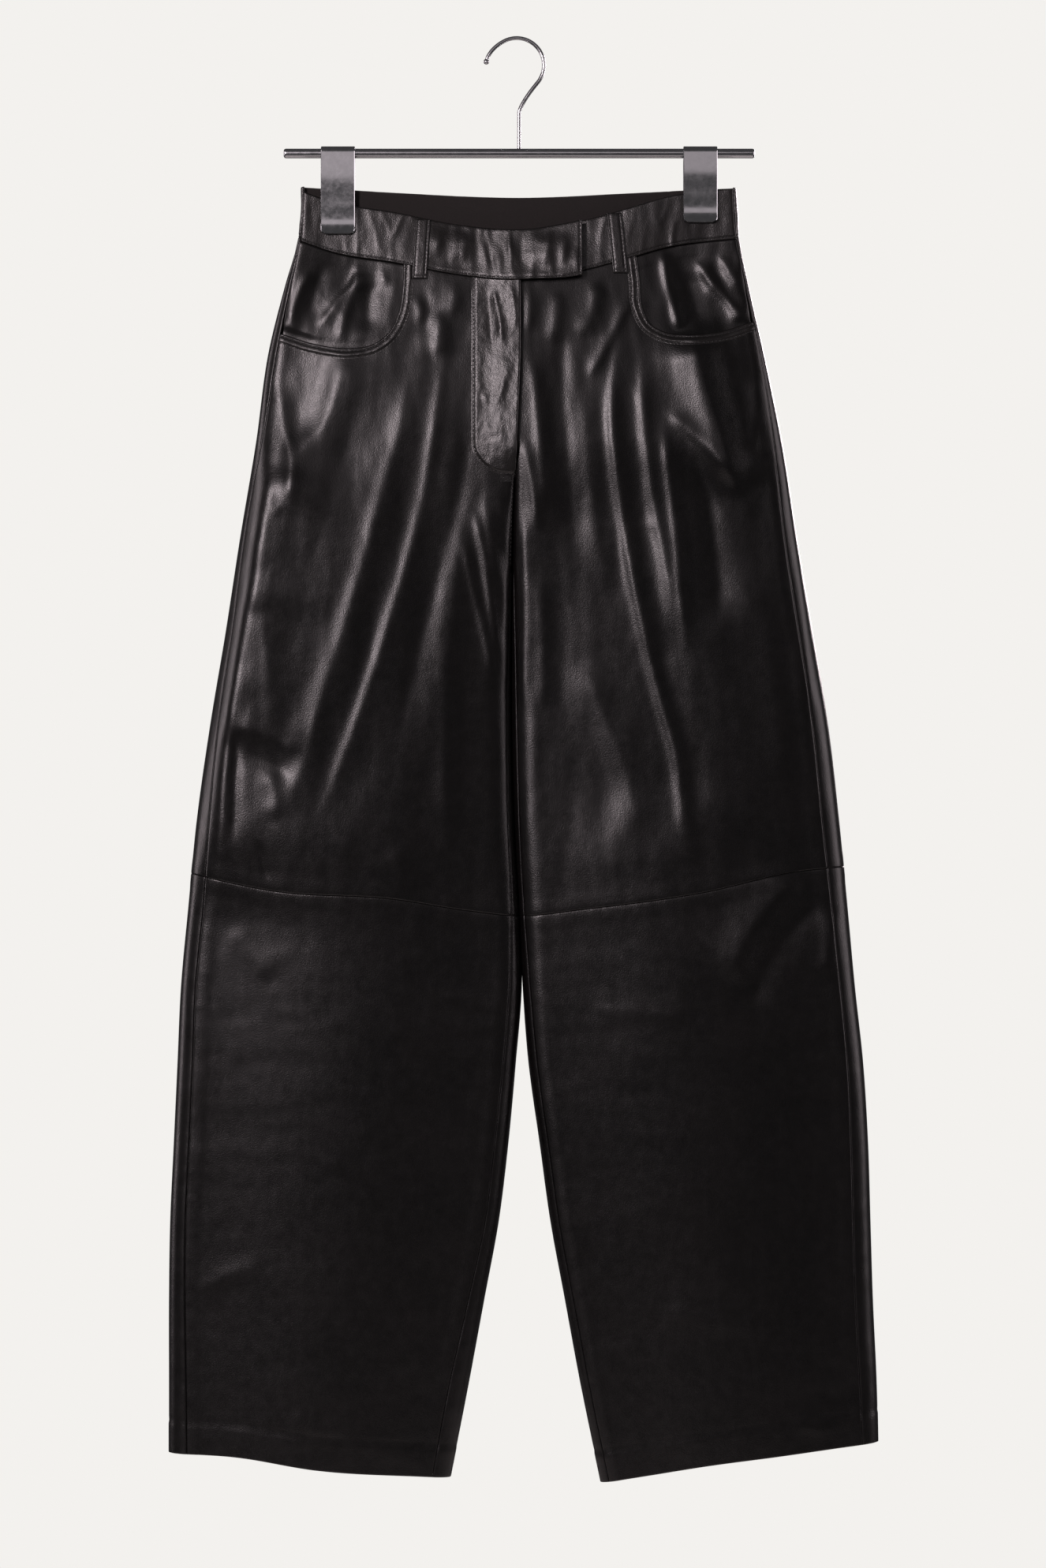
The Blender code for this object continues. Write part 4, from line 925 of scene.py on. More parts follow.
def closed_tube(name, grid, skin):
    """A piece whose grid's rows are closed lines round it, with both ends shut."""
    count, width = grid.shape[:2]
    index = np.arange(count * width).reshape(count, width)
    around = np.roll(index, -1, axis=1)
    faces = np.stack([index[:-1], index[1:], around[1:], around[:-1]], axis=-1)
    faces = faces.reshape(-1, 4).tolist() + [index[0].tolist(), index[-1][::-1].tolist()]
    mesh = bpy.data.meshes.new(name)
    mesh.from_pydata(grid.reshape(-1, 3).tolist(), [], faces)
    shape = bmesh.new()
    shape.from_mesh(mesh)
    bmesh.ops.recalc_face_normals(shape, faces=shape.faces)
    shape.to_mesh(mesh)
    shape.free()
    return add_piece(name, mesh, [skin])


print("skins of a shell:", NAPPA.name, "outside,", SUEDE.name, "inside")

# %% [markdown]
# ### The size that each piece was cut to
# Leather is a sheet, so whoever uses this model may want the flat size of each
# piece. It is measured over the piece's own surface: the longest row, the longest
# column and the area.

# %% Flat sizes
CUT = []


def grid_area(points):
    """The area of a grid of points."""
    a = points[1:, 1:] - points[:-1, :-1]
    b = points[1:, :-1] - points[:-1, 1:]
    return 0.5 * np.linalg.norm(np.cross(a, b), axis=-1).sum()


def longest(points, axis):
    """The longest of a grid's rows or columns, measured along the surface."""
    steps = np.linalg.norm(np.diff(points, axis=axis), axis=-1)
    return steps.sum(axis=axis).max()


def declare_cloth(made, node, flat_points):
    """Replaces the node and states the flat size that the piece was cut to."""
    hand_over(made, node)
    width, length = longest(flat_points, 1), longest(flat_points, 0)
    area = min(grid_area(flat_points), width * length)
    CUT.append((node, round(width, 3), round(length, 3), round(area, 4)))


def lay_piece(face, node, x, z, out, dip, rim, wall, skin):
    """A flat piece on the front or back: out from it by out, less the stitches' dip."""
    outer = laid(face, x, z, out - dip - rim * wall / 2)
    inner = laid(face, x, z, out - wall + rim * wall / 2)
    made = leather_shell(f"leather_{node}", outer, inner, (skin, SUEDE))
    declare_cloth(made, node, laid(face, x, z, 0.0))


# %% [markdown]
# ## Leg panels
# A panel runs between two seams of the section: the front from the outseam to
# the centre seam and then the inseam, the back from the seat seam round both
# edges of the leg to the outseam on the front. Seams are pressed open inside, so
# a flat band of doubled leather shows on both sides of each, and the thread
# draws up small puckers across it.


# %% Where a panel starts and ends
SEAT_SEAM_DROP = 62 * MM
FRONT_SEAM_DROP = 38 * MM
INNER_RUN_LEAST = 0.04
SETTLING_ROUNDS = 5


def fallen(z, drop):
    """How far a crotch seam has dropped towards the inseam, as a quarter circle."""
    down = 1 - np.clip((z - CROTCH_Z) / drop, 0, 1)
    return 1 - math.sqrt(1 - down**2)


def front_runs(ring, z):
    """Where the front panel starts and ends along a section."""
    return ring.outseam, lerp(ring.front_corner, ring.inseam, fallen(z, FRONT_SEAM_DROP))


def back_runs(ring, z):
    """The same for the back panel, and between them the edges that it goes round."""
    start = lerp(ring.back_corner, ring.inseam, fallen(z, SEAT_SEAM_DROP))
    inner = max(ring.front_corner, lerp(start, ring.whole, INNER_RUN_LEAST))
    return start, inner, ring.whole, ring.whole + ring.outseam


def column_table(side, runs_of, run_numbers, shares):
    """x, y and the outward direction of each column at every level."""
    table = np.empty((4, len(LEVELS), len(shares)))
    for level, ring in enumerate(side.rings):
        ends = np.array(runs_of(ring, LEVELS[level]))
        places = lerp(ends[run_numbers], ends[run_numbers + 1], shares)
        table[:, level] = ring_points(side, ring, places)
    return table


def grid_on_columns(table, height_of, rows):
    """Follows each column down: height_of turns x and a row into a height."""
    columns = table.shape[2]
    z = np.empty((len(rows), columns))
    parts = np.empty((4, len(rows), columns))
    for column in range(columns):
        xs = table[0, :, column]
        x = np.full(len(rows), xs[len(xs) // 2])
        for _ in range(SETTLING_ROUNDS):
            z[:, column] = height_of(x, rows)
            x = np.interp(z[:, column], LEVELS, xs)
        for part, known in enumerate(table[:, :, column]):
            parts[part, :, column] = np.interp(z[:, column], LEVELS, known)
    length = np.hypot(parts[2], parts[3])
    return parts[0], parts[1], z, parts[2] / length, parts[3] / length


hem_ring = RIGHT.rings[0]
front_width = np.ptp(front_runs(hem_ring, LEVELS[0]))
print("right front at the hem:", np.round(front_width / MM), "mm wide")

# %% Seam bands and puckers
SEAM_BAND = 9 * MM
SEAM_BAND_RISE = 0.22 * MM
SEAM_BAND_START = 1.5 * MM
SEAM_BAND_END = 3.5 * MM
SEAM_SINK = 0.5 * MM
SEAM_TIGHTNESS = 1.5
PUCKER_DEPTH = 0.22 * MM
PUCKER_LENGTH = 5.5 * MM
PUCKER_DRIFT = 30 * MM
PUCKER_REACH = 9 * MM
PUCKER_GROUP = 40 * MM
PUCKER_LEAST = 0.4
PUCKER_MORE = 0.9


def seam_band(distance):
    """The doubled leather beside a seam that is pressed open."""
    start = smoothstep(distance / SEAM_BAND_START)
    return SEAM_BAND_RISE * start * (1 - smoothstep((distance - SEAM_BAND) / SEAM_BAND_END))


def puckers(distance, place, seed):
    """Small gathers across a seam, in groups, fading away from it."""
    wave = soft_noise(place / PUCKER_LENGTH, distance / PUCKER_DRIFT, seed)
    group = np.clip(soft_noise(place / PUCKER_GROUP, distance * 0, seed), 0, 1)
    depth = PUCKER_DEPTH * (PUCKER_LEAST + PUCKER_MORE * group)
    return depth * wave * bell(distance, PUCKER_REACH)


print("seam band rises:", np.round(seam_band(SEAM_BAND / 2) / MM, 2), "mm")

# %% Building a panel
# A nominal size only sets how many grid lines there are and how near the rim.
FRONT_NOMINAL = 235 * MM
BACK_NOMINALS = (10 * MM, 262 * MM, 18 * MM)
UPPER_NOMINAL = 540 * MM
LOWER_NOMINAL = 490 * MM
LEG_STEP_ACROSS = 2.5 * MM
LEG_STEP_DOWN = 3.2 * MM
EDGE_STEPS = (2.0 * MM, 1.8 * MM)
INSEAM_OFFSET = 300 * MM
FACING_LEAST = 0.2
HEM_TURN = 26 * MM
HEM_WALL = 2.7 * MM
HEM_RISE = 0.30 * MM
HEM_DIP = 0.35 * MM
HEM_DIP_WIDTH = 1.6 * MM
HEM_DIP_PATCH = 30 * MM
HEM_DIP_LEAST = 0.7
HEM_DIP_MORE = 0.6


def panel_columns(back):
    """Run numbers, shares and distances from both side seams, for each column."""
    if not back:
        at = spread(FRONT_NOMINAL, LEG_STEP_ACROSS)
        return np.zeros(len(at), int), at / FRONT_NOMINAL, at, FRONT_NOMINAL - at
    first, main, last = BACK_NOMINALS
    lines = [
        spread(first, EDGE_STEPS[0], end=NO_RIM),
        spread(main, LEG_STEP_ACROSS, NO_RIM, NO_RIM)[1:],
        spread(last, EDGE_STEPS[1], start=NO_RIM)[1:],
    ]
    numbers = np.concatenate([np.full(len(at), run) for run, at in enumerate(lines)])
    shares = np.concatenate([at / n for at, n in zip(lines, BACK_NOMINALS)])
    from_start = np.concatenate([lines[0], lines[1] + first, lines[2] + first + main])
    return numbers, shares, from_start, sum(BACK_NOMINALS) - from_start


def turned_hem(x, from_foot, seed):
    """The wall and the rise of a turned-up hem, with its row of hidden stitches."""
    doubled = smoothstep((HEM_TURN + 1 * MM - from_foot) / (2 * MM))
    patch = soft_noise(x / HEM_DIP_PATCH, 0 * x, seed)
    uneven = HEM_DIP_LEAST + HEM_DIP_MORE * patch
    dip = HEM_DIP * bell(from_foot - HEM_TURN, HEM_DIP_WIDTH) * uneven
    return lerp(WALL, HEM_WALL, doubled), HEM_RISE * doubled - dip


def leg_panel(side, back, upper, skin):
    """One panel. On it are the pieces that are made of the same leather."""
    runs_of, waist = (back_runs, back_waist) if back else (front_runs, front_waist)
    top, foot = (waist, knee) if upper else (knee, side.hem)
    nominal = UPPER_NOMINAL if upper else LOWER_NOMINAL
    numbers, shares, from_start, from_end = panel_columns(back)
    table = column_table(side, runs_of, numbers, shares)
    down = spread(nominal, LEG_STEP_DOWN)

    def height_of(x, rows):
        return lerp(top(x), foot(x), rows)

    x, y, z, away_x, away_y = grid_on_columns(table, height_of, down / nominal)
    seed = 100 + 10 * (side is LEFT) + 20 * back + 40 * upper
    seams = [(from_start, z), (from_end, z + INSEAM_OFFSET), (top(x) - z, x)]
    if upper:
        seams.append((z - foot(x), x))
        wall, out = WALL, np.zeros(z.shape)
    else:
        wall, out = turned_hem(x, z - foot(x), seed + 9)
    for number, (distance, place) in enumerate(seams):
        out += seam_band(distance) + puckers(distance, place, seed + number)
    at_side = np.minimum(from_start, from_end)[None, :]
    at_end = np.minimum(down, nominal - down)[:, None]
    rim = np.maximum(rolled(at_side), rolled(at_end))
    facing = np.maximum(away_y**2, FACING_LEAST)
    tight_end = rolled(at_end * SEAM_TIGHTNESS) * facing
    sink = SEAM_SINK * np.maximum(rolled(at_side * SEAM_TIGHTNESS), tight_end)
    outer = raised(x, y, z, away_x, away_y, out - sink)
    inner = raised(x, y, z, away_x, away_y, -wall + rim * (wall - sink))
    face = "back" if back else "front"
    node = f"{face}_{'upper' if upper else 'lower'}_{side.name}"
    made = leather_shell(f"leather_{node}", outer, inner, (skin, SUEDE))
    declare_cloth(made, node, np.stack([x, y, z], axis=-1))
    return made


print("columns of a front and a back panel:", *(len(panel_columns(b)[0]) for b in (0, 1)))

# %% [markdown]
# ### The scoop of the pocket
# The upper front is cut away along the pocket's mouth. A Boolean with a prism of
# that outline does it in one step, and the turned edge made further on covers
# the cut.


# %% Pocket mouths
MOUTH_POINTS = 60
CUTTER_REACH_X = 260 * MM
CUTTER_TOP_Z = -120 * MM
CUTTER_DEPTH = 60 * MM


def along_path(points, count):
    """Evenly spaced points on a smooth curve through the given ones."""
    points = np.asarray(points, float)
    run = run_along(points)
    at = np.linspace(0, run[-1], count)
    return np.stack([smooth_curve(run, column)(at) for column in points.T], axis=-1)


def cut_mouth(panel, side):
    """Cuts the panel away from the mouth outwards and upwards, front only."""
    mouth = along_path(side.mouth, MOUTH_POINTS)
    beyond = side.sign * CUTTER_REACH_X
    ends = [(beyond, mouth[-1, 1]), (beyond, CUTTER_TOP_Z), (mouth[0, 0], CUTTER_TOP_Z)]
    outline = np.concatenate([mouth, ends])
    shape = bmesh.new()
    corners = [shape.verts.new((x, -CUTTER_DEPTH, z)) for x, z in outline]
    grown = bmesh.ops.extrude_face_region(shape, geom=[shape.faces.new(corners)])
    moved = [v for v in grown["geom"] if isinstance(v, bmesh.types.BMVert)]
    bmesh.ops.translate(shape, verts=moved, vec=(0, CUTTER_DEPTH, 0))
    bmesh.ops.recalc_face_normals(shape, faces=shape.faces)
    mesh = bpy.data.meshes.new("mouth_cutter")
    shape.to_mesh(mesh)
    shape.free()
    cutter = bpy.data.objects.new("mouth_cutter", mesh)
    bpy.context.scene.collection.objects.link(cutter)
    cut = panel.modifiers.new("mouth", "BOOLEAN")
    cut.operation = "DIFFERENCE"
    cut.solver = "EXACT"
    cut.object = cutter
    graph = bpy.context.evaluated_depsgraph_get()
    carved = bpy.data.meshes.new_from_object(panel.evaluated_get(graph))
    panel.modifiers.clear()
    panel.data = carved
    bpy.data.objects.remove(cutter)


for side in SIDES:
    mouth_length = run_along(along_path(side.mouth, MOUTH_POINTS))[-1]
    print(f"{side.name} pocket mouth:", np.round(mouth_length / MM), "mm long")


# %% [markdown]
# ## The fly and the turned pocket edges
# Neither is a patch. On the real trousers the fly is the front's own leather,
# held down by a J-shaped row of stitches, plump inside it because there are more
# layers, and the pocket edge is the front turned in and stitched twice. Both are
# made as fine skins that rise out of the panel and sink back into it just past
# the stitches, so that only the stitched form shows.

# %% The outline of the fly
FLY_LEFT_X = -35.8 * MM
FLY_RIGHT_X = 3 * MM
FLY_STITCH_Z = -360.8 * MM
FLY_ROUND = 27 * MM
FLY_MARGIN = 2.4 * MM
FLY_OVERLAP = 1.0 * MM
J_LINE_STEPS = 400
J_LINE_POINTS = 260


def fly_edge_x(z, margin):
    """The J's outer line at a height, moved out by a margin."""
    bottom = FLY_STITCH_Z - margin
    down = np.clip((bottom + FLY_ROUND + margin - z) / (FLY_ROUND + margin), 0, 1)
    right = RIGHT.inner(z) - 3 * MM
    return lerp(right, FLY_LEFT_X - margin, np.sqrt(1 - down**2))


def j_line(margin):
    """The J from the waist seam down and round to the centre seam."""
    z = np.linspace(front_waist(FLY_LEFT_X), FLY_STITCH_Z - margin, J_LINE_STEPS)
    last = [[RIGHT.inner(z[-1]) - 1 * MM, z[-1]]]
    points = np.concatenate([np.stack([fly_edge_x(z, margin), z], axis=-1), last])
    run = run_along(points)
    at = np.linspace(0, run[-1], J_LINE_POINTS)
    return np.stack([np.interp(at, run, column) for column in points.T], axis=-1)


def distance_to(line, x, z):
    """How far each point is from a line of closely spaced points."""
    best = np.full(x.shape, np.inf)
    for px, pz in line:
        best = np.minimum(best, np.hypot(x - px, z - pz))
    return best


print("J stitching:", np.round(run_along(j_line(0.0))[-1] / MM), "mm long")

# %% The fly
# Rises are measured from the panel. The wedge lifts the side of the zip. Each
# form starts a little way inside the J and is whole a few millimetres further in.
FLY_NOMINAL = 38 * MM
FLY_STEP = 0.9 * MM
FLY_LEFT_RIM = np.array([0, 0.5]) * MM
FLY_ROWS = 150
FLY_SUNK = 0.35 * MM
FLY_MARGIN_RISE = 0.75 * MM
FLY_MARGIN_OVER = 1.5 * MM
FLY_PLUMP_RISE = 0.85 * MM
FLY_PLUMP_FROM, FLY_PLUMP_OVER = 2.2 * MM, 3 * MM
FLY_GROOVE = 0.45 * MM
FLY_GROOVE_WIDTH = 0.8 * MM
FLY_WEDGE = 5.0 * MM
FLY_STEADY_FROM, FLY_STEADY_OVER = 3 * MM, 5 * MM
FLY_PUCKERS = 0.8
FLY_TUCK = 0.6 * MM
FLY_TUCK_TIGHTNESS = 0.9
FLY_UNDERSIDE = 0.75 * MM
FLY_CREASES = [
    Crease(1.3, 4, 3, [(-20, -201), (-16, -225), (-13, -240), (-12, -258)]),
    Crease(1.0, 4, 3, [(-6, -200), (-3, -215), (-1, -232), (-2, -246)]),
    Crease(0.8, 4, 4, [(-9, -262), (-8, -275), (-14, -296), (-19, -312)]),
    Crease(-0.8, 4, 4, [(-25, -205), (-22, -232), (-20, -262)]),
    Crease(0.6, 3, 4, [(-30, -292), (-24, -300), (-18, -302)]),
    Crease(0.6, 4, 4, [(-28, -318), (-20, -326), (-10, -328)]),
]
FLY_MOTTLE = [
    Wave(0.48, 2.6, 3.4, 70),
    Wave(0.75, 5.0, 7.5, 71),
    Wave(0.80, 8.5, 17, 72),
    Wave(1.20, 16, 30, 73),
]
MOTTLE_INSIDE = 0.16
MOTTLE_AT_EDGE = 0.03


def make_fly():
    """A fine skin over the front's own leather, inside the J."""
    down = np.linspace(0, 1, FLY_ROWS)[:, None]
    across = spread(FLY_NOMINAL, FLY_STEP, FLY_LEFT_RIM)[None, :] / FLY_NOMINAL
    x = np.full((down.size, across.size), FLY_LEFT_X / 2)
    for _ in range(SETTLING_ROUNDS):
        z = lerp(front_waist(x), FLY_STITCH_Z - FLY_MARGIN, down)
        right = RIGHT.inner(z) + FLY_OVERLAP
        x = lerp(fly_edge_x(z, FLY_MARGIN), right, across)
    inside = distance_to(j_line(FLY_MARGIN), x, z)
    to_zip = (x - FLY_LEFT_X) / (FLY_RIGHT_X - FLY_LEFT_X)
    rise = FLY_WEDGE * to_zip * smoothstep(inside / FLY_ROUND) - FLY_SUNK
    rise += FLY_MARGIN_RISE * smoothstep(inside / FLY_MARGIN_OVER)
    rise += FLY_PLUMP_RISE * smoothstep((inside - FLY_PLUMP_FROM) / FLY_PLUMP_OVER)
    rise -= FLY_GROOVE * bell(inside - FLY_MARGIN, FLY_GROOVE_WIDTH)
    steady = smoothstep((inside - FLY_STEADY_FROM) / FLY_STEADY_OVER)
    for crease in FLY_CREASES:
        rise += crease_rise(crease, x, z) * steady
    rise += (MOTTLE_INSIDE * steady + MOTTLE_AT_EDGE) * waves(x, z, FLY_MOTTLE)
    rise += puckers(np.abs(inside - FLY_MARGIN), z, 74) * FLY_PUCKERS
    edge = rolled(np.abs(x - right) * FLY_TUCK_TIGHTNESS) * (rise + FLY_TUCK)
    outer = laid("front", x, z, rise - edge)
    inner = laid("front", x, z, -FLY_UNDERSIDE)
    made = leather_shell("leather_fly", outer, inner, (NAPPA_BAND_PAINTED_LIGHTER, SUEDE))
    hand_over(made, "fly")
    return made


fly = make_fly()
print("fly points:", len(fly.data.vertices))

# %% The turned pocket edges
# Distance in from the mouth's edge and height above the panel, in millimetres,
# from where the skin sinks into the panel, over the top, round and under.
TURNED_EDGE = [
    (9.2, -0.50), (8.6, -0.15), (8.0, 0.10), (7.4, 0.06), (7.0, -0.02),
    (6.6, 0.14), (6.1, 0.60), (5.4, 1.00), (4.7, 1.06), (3.8, 0.95),
    (2.9, 0.78), (2.3, 0.52), (1.8, 0.24), (1.4, 0.60), (0.9, 0.86),
    (0.2, 0.74), (-0.4, 0.36), (-0.6, -0.30), (-0.6, -0.90), (-0.3, -1.40),
    (0.3, -1.65), (2.0, -1.72), (5.0, -1.72), (5.2, -1.00), (9.2, -0.90),
]  # fmt: skip
LINES_IN_SIGHT = range(3, 16)
EDGE_POINTS_ALONG = 190
EDGE_UNEVEN = 0.10 * MM
EDGE_FROM_OUTSEAM = 0.6 * MM


def beside_outseam(side, z, gap):
    """x on the front, a gap away from the outseam."""
    return side.outer(z) - side.sign * (side.outseam_inset(z) + gap)


def mouth_frames(side, count):
    """Points along the mouth, and the direction from it into the panel."""
    mouth = along_path(side.mouth, count)
    ahead = directions(mouth)
    return mouth, side.sign * np.stack([ahead[:, 1], -ahead[:, 0]], axis=-1)


def beside_mouth(side, inset, count):
    """Points a distance into the panel from the mouth, kept inside its seams."""
    mouth, into = mouth_frames(side, count)
    at = mouth + into * inset
    limit = beside_outseam(side, at[:, 1], EDGE_FROM_OUTSEAM)
    at[:, 0] = side.sign * np.minimum(side.sign * at[:, 0], side.sign * limit)
    at[:, 1] = np.minimum(at[:, 1], front_waist(at[:, 0]))
    return at


def make_pocket_edge(side):
    """The mouth's turned and twice stitched edge, as a tube along it."""
    count = EDGE_POINTS_ALONG
    lines = []
    for number, (inset, height) in enumerate(TURNED_EDGE):
        at = beside_mouth(side, inset * MM, count)
        out = np.full(count, height * MM)
        if number in LINES_IN_SIGHT:
            level = np.full(count, number / 4)
            out += EDGE_UNEVEN * soft_noise(np.arange(count) / 5, level, 81)
        lines.append(laid("front", at[:, 0], at[:, 1], out))
    name = f"pocket_edge_{side.name}"
    made = closed_tube(f"leather_{name}", np.stack(lines, axis=1), NAPPA_BAND_PAINTED_LIGHTER)
    hand_over(made, name)
    return made


pocket_edges = {side: make_pocket_edge(side) for side in SIDES}
print("pocket edge points:", [len(p.data.vertices) for p in pocket_edges.values()])


# %% Make the eight leg panels
for side in SIDES:
    front = leg_panel(side, False, True, NAPPA)
    cut_mouth(front, side)
    leg_panel(side, True, True, NAPPA)
    leg_panel(side, False, False, NAPPA)
    leg_panel(side, True, False, NAPPA)
print("panels cut to:", CUT)

# %% [markdown]
# ## Pocket facings
# Inside each scoop lies a facing of the same leather. It starts level with the
# outseam and waist, and slips 2 mm behind the front panel round the mouth. Short
# creases fan down it from the waist.

# %% Make the facings
WAIST_SIDE_Z = -165 * MM
FACING_WALL = 1.2 * MM
FACING_SINK = 2.1 * MM
FACING_TUCK = 12 * MM
FACING_WIDTH = 110 * MM
FACING_LENGTH = 90 * MM
FACING_STEP = 1.8 * MM
FACING_WAVES = [Wave(0.3, 11, 24, 91)]
FACING_SUNK_ACROSS = 0.6
FACING_SINKS_FROM, FACING_SINKS_OVER = 0.2, 0.5
FACING_FREE_FROM, FACING_FREE_OVER = 1.5 * MM, 7 * MM


def inside_mouth(side, x, z):
    """How far inside the mouth's opening a point lies, and below 0 outside it."""
    mouth, into = mouth_frames(side, 160)
    best = np.full(x.shape, np.inf)
    signed = np.zeros(x.shape)
    for (px, pz), (nx, nz) in zip(mouth, into):
        away = np.hypot(x - px, z - pz)
        nearer = away < best
        best = np.where(nearer, away, best)
        signed = np.where(nearer, -((x - px) * nx + (z - pz) * nz), signed)
    return np.sign(signed) * best


def make_facing(side):
    """The leather seen inside one scoop, and its tuck behind the front."""
    mouth = along_path(side.mouth, 22)
    inner_x = mouth[0, 0] - side.sign * FACING_TUCK
    lowest = mouth[:, 1].min() - FACING_TUCK
    across, down = spread(FACING_WIDTH, FACING_STEP), spread(FACING_LENGTH, FACING_STEP)
    rim = rolled_rim(across, FACING_WIDTH, down, FACING_LENGTH)
    over = across[None, :] / FACING_WIDTH
    fall = down[:, None] / FACING_LENGTH
    z = lerp(WAIST_SIDE_Z, lowest, fall) + 0 * over
    for _ in range(SETTLING_ROUNDS):
        x = lerp(beside_outseam(side, z, EDGE_FROM_OUTSEAM), inner_x, over)
        z = lerp(front_waist(x), lowest, fall)
    sunk_down = smoothstep((fall - FACING_SINKS_FROM) / FACING_SINKS_OVER)
    sunk = np.maximum(smoothstep(over / FACING_SUNK_ACROSS), sunk_down)
    free = inside_mouth(side, x, z) - FACING_FREE_FROM
    free = smoothstep(free / FACING_FREE_OVER)
    rise = sum(crease_rise(crease, x, z) for crease in FACING_CREASES)
    rise += waves(x, z, FACING_WAVES, side.sign)
    from_waist = front_waist(x) - z
    band = seam_band(from_waist) + puckers(from_waist, x, 93)
    out = rise * free + band - FACING_SINK * sunk
    node = f"pocket_facing_{side.name}"
    lay_piece("front", node, x, z, out, 0.0, rim, FACING_WALL, NAPPA)


for side in SIDES:
    make_facing(side)
print("facings cut to:", CUT[-2:])


# %% [markdown]
# ## The waistband
# A 42 mm band in three pieces. The front right piece runs on past the centre as
# a tab and laps over the left. Its lower edge and the tab's end are topstitched.
# Doubled leather is stiff, so the band creases in a few upright folds where it
# was handled, and fine wrinkles lie between them. Its middle leans back a little
# between the clips, while the tab stands off the half below it.

# %% How far the band stands out
BAND_WALL = 2.4 * MM
BAND_PROUD = 0.5 * MM
BAND_HEIGHT = 42 * MM
LAY_GAP = 0.6 * MM
TAB_DROP = 4.5 * MM
TAB_END_X = 54 * MM
TAB_RISES_FROM = -48 * MM
TAB_LIES_OVER_FROM = 2.5 * MM
TAB_STANDS_OFF = 6.0 * MM
BAND_LEAN = 0.11
BAND_LEAN_HALF_WIDTH = 95 * MM
BAND_FOLD = 1.1 * MM
BAND_FOLD_SIZE = (12 * MM, 50 * MM)
BAND_PATCH_SIZE = (35 * MM, 60 * MM)
BAND_PATCH_SHARE = 0.3
FRONT_SEED, BACK_SEED = 51, 61
BAND_WAVES = [Wave(0.36, 8.5, 26, 0), Wave(0.62, 30, 55, 2), Wave(0.09, 4.2, 7.5, 4)]
BAND_CREASES = [
    Crease(2.9, 15, 6, [(-43, -154), (-44, -172), (-46, -190)]),
    Crease(2.0, 11, 5, [(-64, -152), (-65, -168), (-67, -184)]),
    Crease(0.9, 3.4, 3, [(-29, -160), (-27, -176), (-22, -196)]),
    Crease(0.9, 3.4, 3, [(-16, -168), (-14, -182), (-13, -198)]),
    Crease(1.1, 4.5, 3, [(-8, -158), (-6, -172), (-2, -188)]),
    Crease(2.8, 14, 6, [(28, -156), (25, -174), (21, -194)]),
    Crease(1.7, 9, 4, [(42, -158), (39, -176), (36, -192)]),
    Crease(1.2, 8, 3, [(51, -172), (50, -184), (50, -197)]),
    Crease(-0.8, 5, 5, [(4, -160), (4, -176), (4, -196)]),
]


def tab_lift(x):
    """0 where the right piece lies on the front, 1 where it lies on the left piece."""
    return smoothstep((x - TAB_RISES_FROM) / (TAB_LIES_OVER_FROM - TAB_RISES_FROM))


def no_lift(x):
    """The same for a piece that lies on the front all the way."""
    return 0 * x


def band_wrinkles(x, z, seed):
    """Fine wrinkles, and sharper folds in patches."""
    fold_x, fold_z = BAND_FOLD_SIZE
    patch_x, patch_z = BAND_PATCH_SIZE
    sharp = 1 - np.abs(soft_noise(x / fold_x, z / fold_z, seed + 3))
    patch = soft_noise(x / patch_x, z / patch_z, seed + 1) + BAND_PATCH_SHARE
    folds = BAND_FOLD * sharp**4 * np.clip(patch, 0, 1)
    return waves(x, z, BAND_WAVES, seed) + folds


def band_lean(x, above_foot):
    """How far the middle of the band leans in towards its top."""
    return BAND_LEAN * above_foot * np.exp(-((x / BAND_LEAN_HALF_WIDTH) ** 4))


def front_band_out(x, z, lifted, above_foot):
    """How far the front band stands off the panels below it."""
    folds = sum(crease_rise(crease, x, z) for crease in BAND_CREASES)
    along = (x - TAB_RISES_FROM) / (TAB_END_X - TAB_RISES_FROM)
    stands_off = TAB_STANDS_OFF * np.clip(along, 0, 1) * lifted
    out = BAND_PROUD + lifted * (BAND_WALL + LAY_GAP) + band_wrinkles(x, z, FRONT_SEED)
    return out + folds + stands_off - band_lean(x, above_foot)


tip = front_band_out(np.array([TAB_END_X]), np.array([-0.17]), 1.0, BAND_HEIGHT / 2)
print("the tab's end stands out:", np.round(tip / MM, 1), "mm")

# %% Make the waistband
UNDER_BAND_START_X = 4.5 * MM
BACK_BAND_HALF = 190 * MM
BAND_STEP = 1.6 * MM
BACK_BAND_STEP = 2.2 * MM


def band_rows():
    """Rows from the top edge down, and their distance from the lower edge."""
    down = spread(BAND_HEIGHT, BAND_STEP, RIM, STITCHED_RIM)
    return down, BAND_HEIGHT - down


def front_band_at(share, x, lift):
    """The height of a point on the front band, a share of the way up it."""
    past = (x - UNDER_BAND_START_X) / (TAB_END_X - UNDER_BAND_START_X)
    drop = lift * smoothstep(past) * TAB_DROP * (1 - share)
    return front_waist(x) + BAND_HEIGHT * share - drop


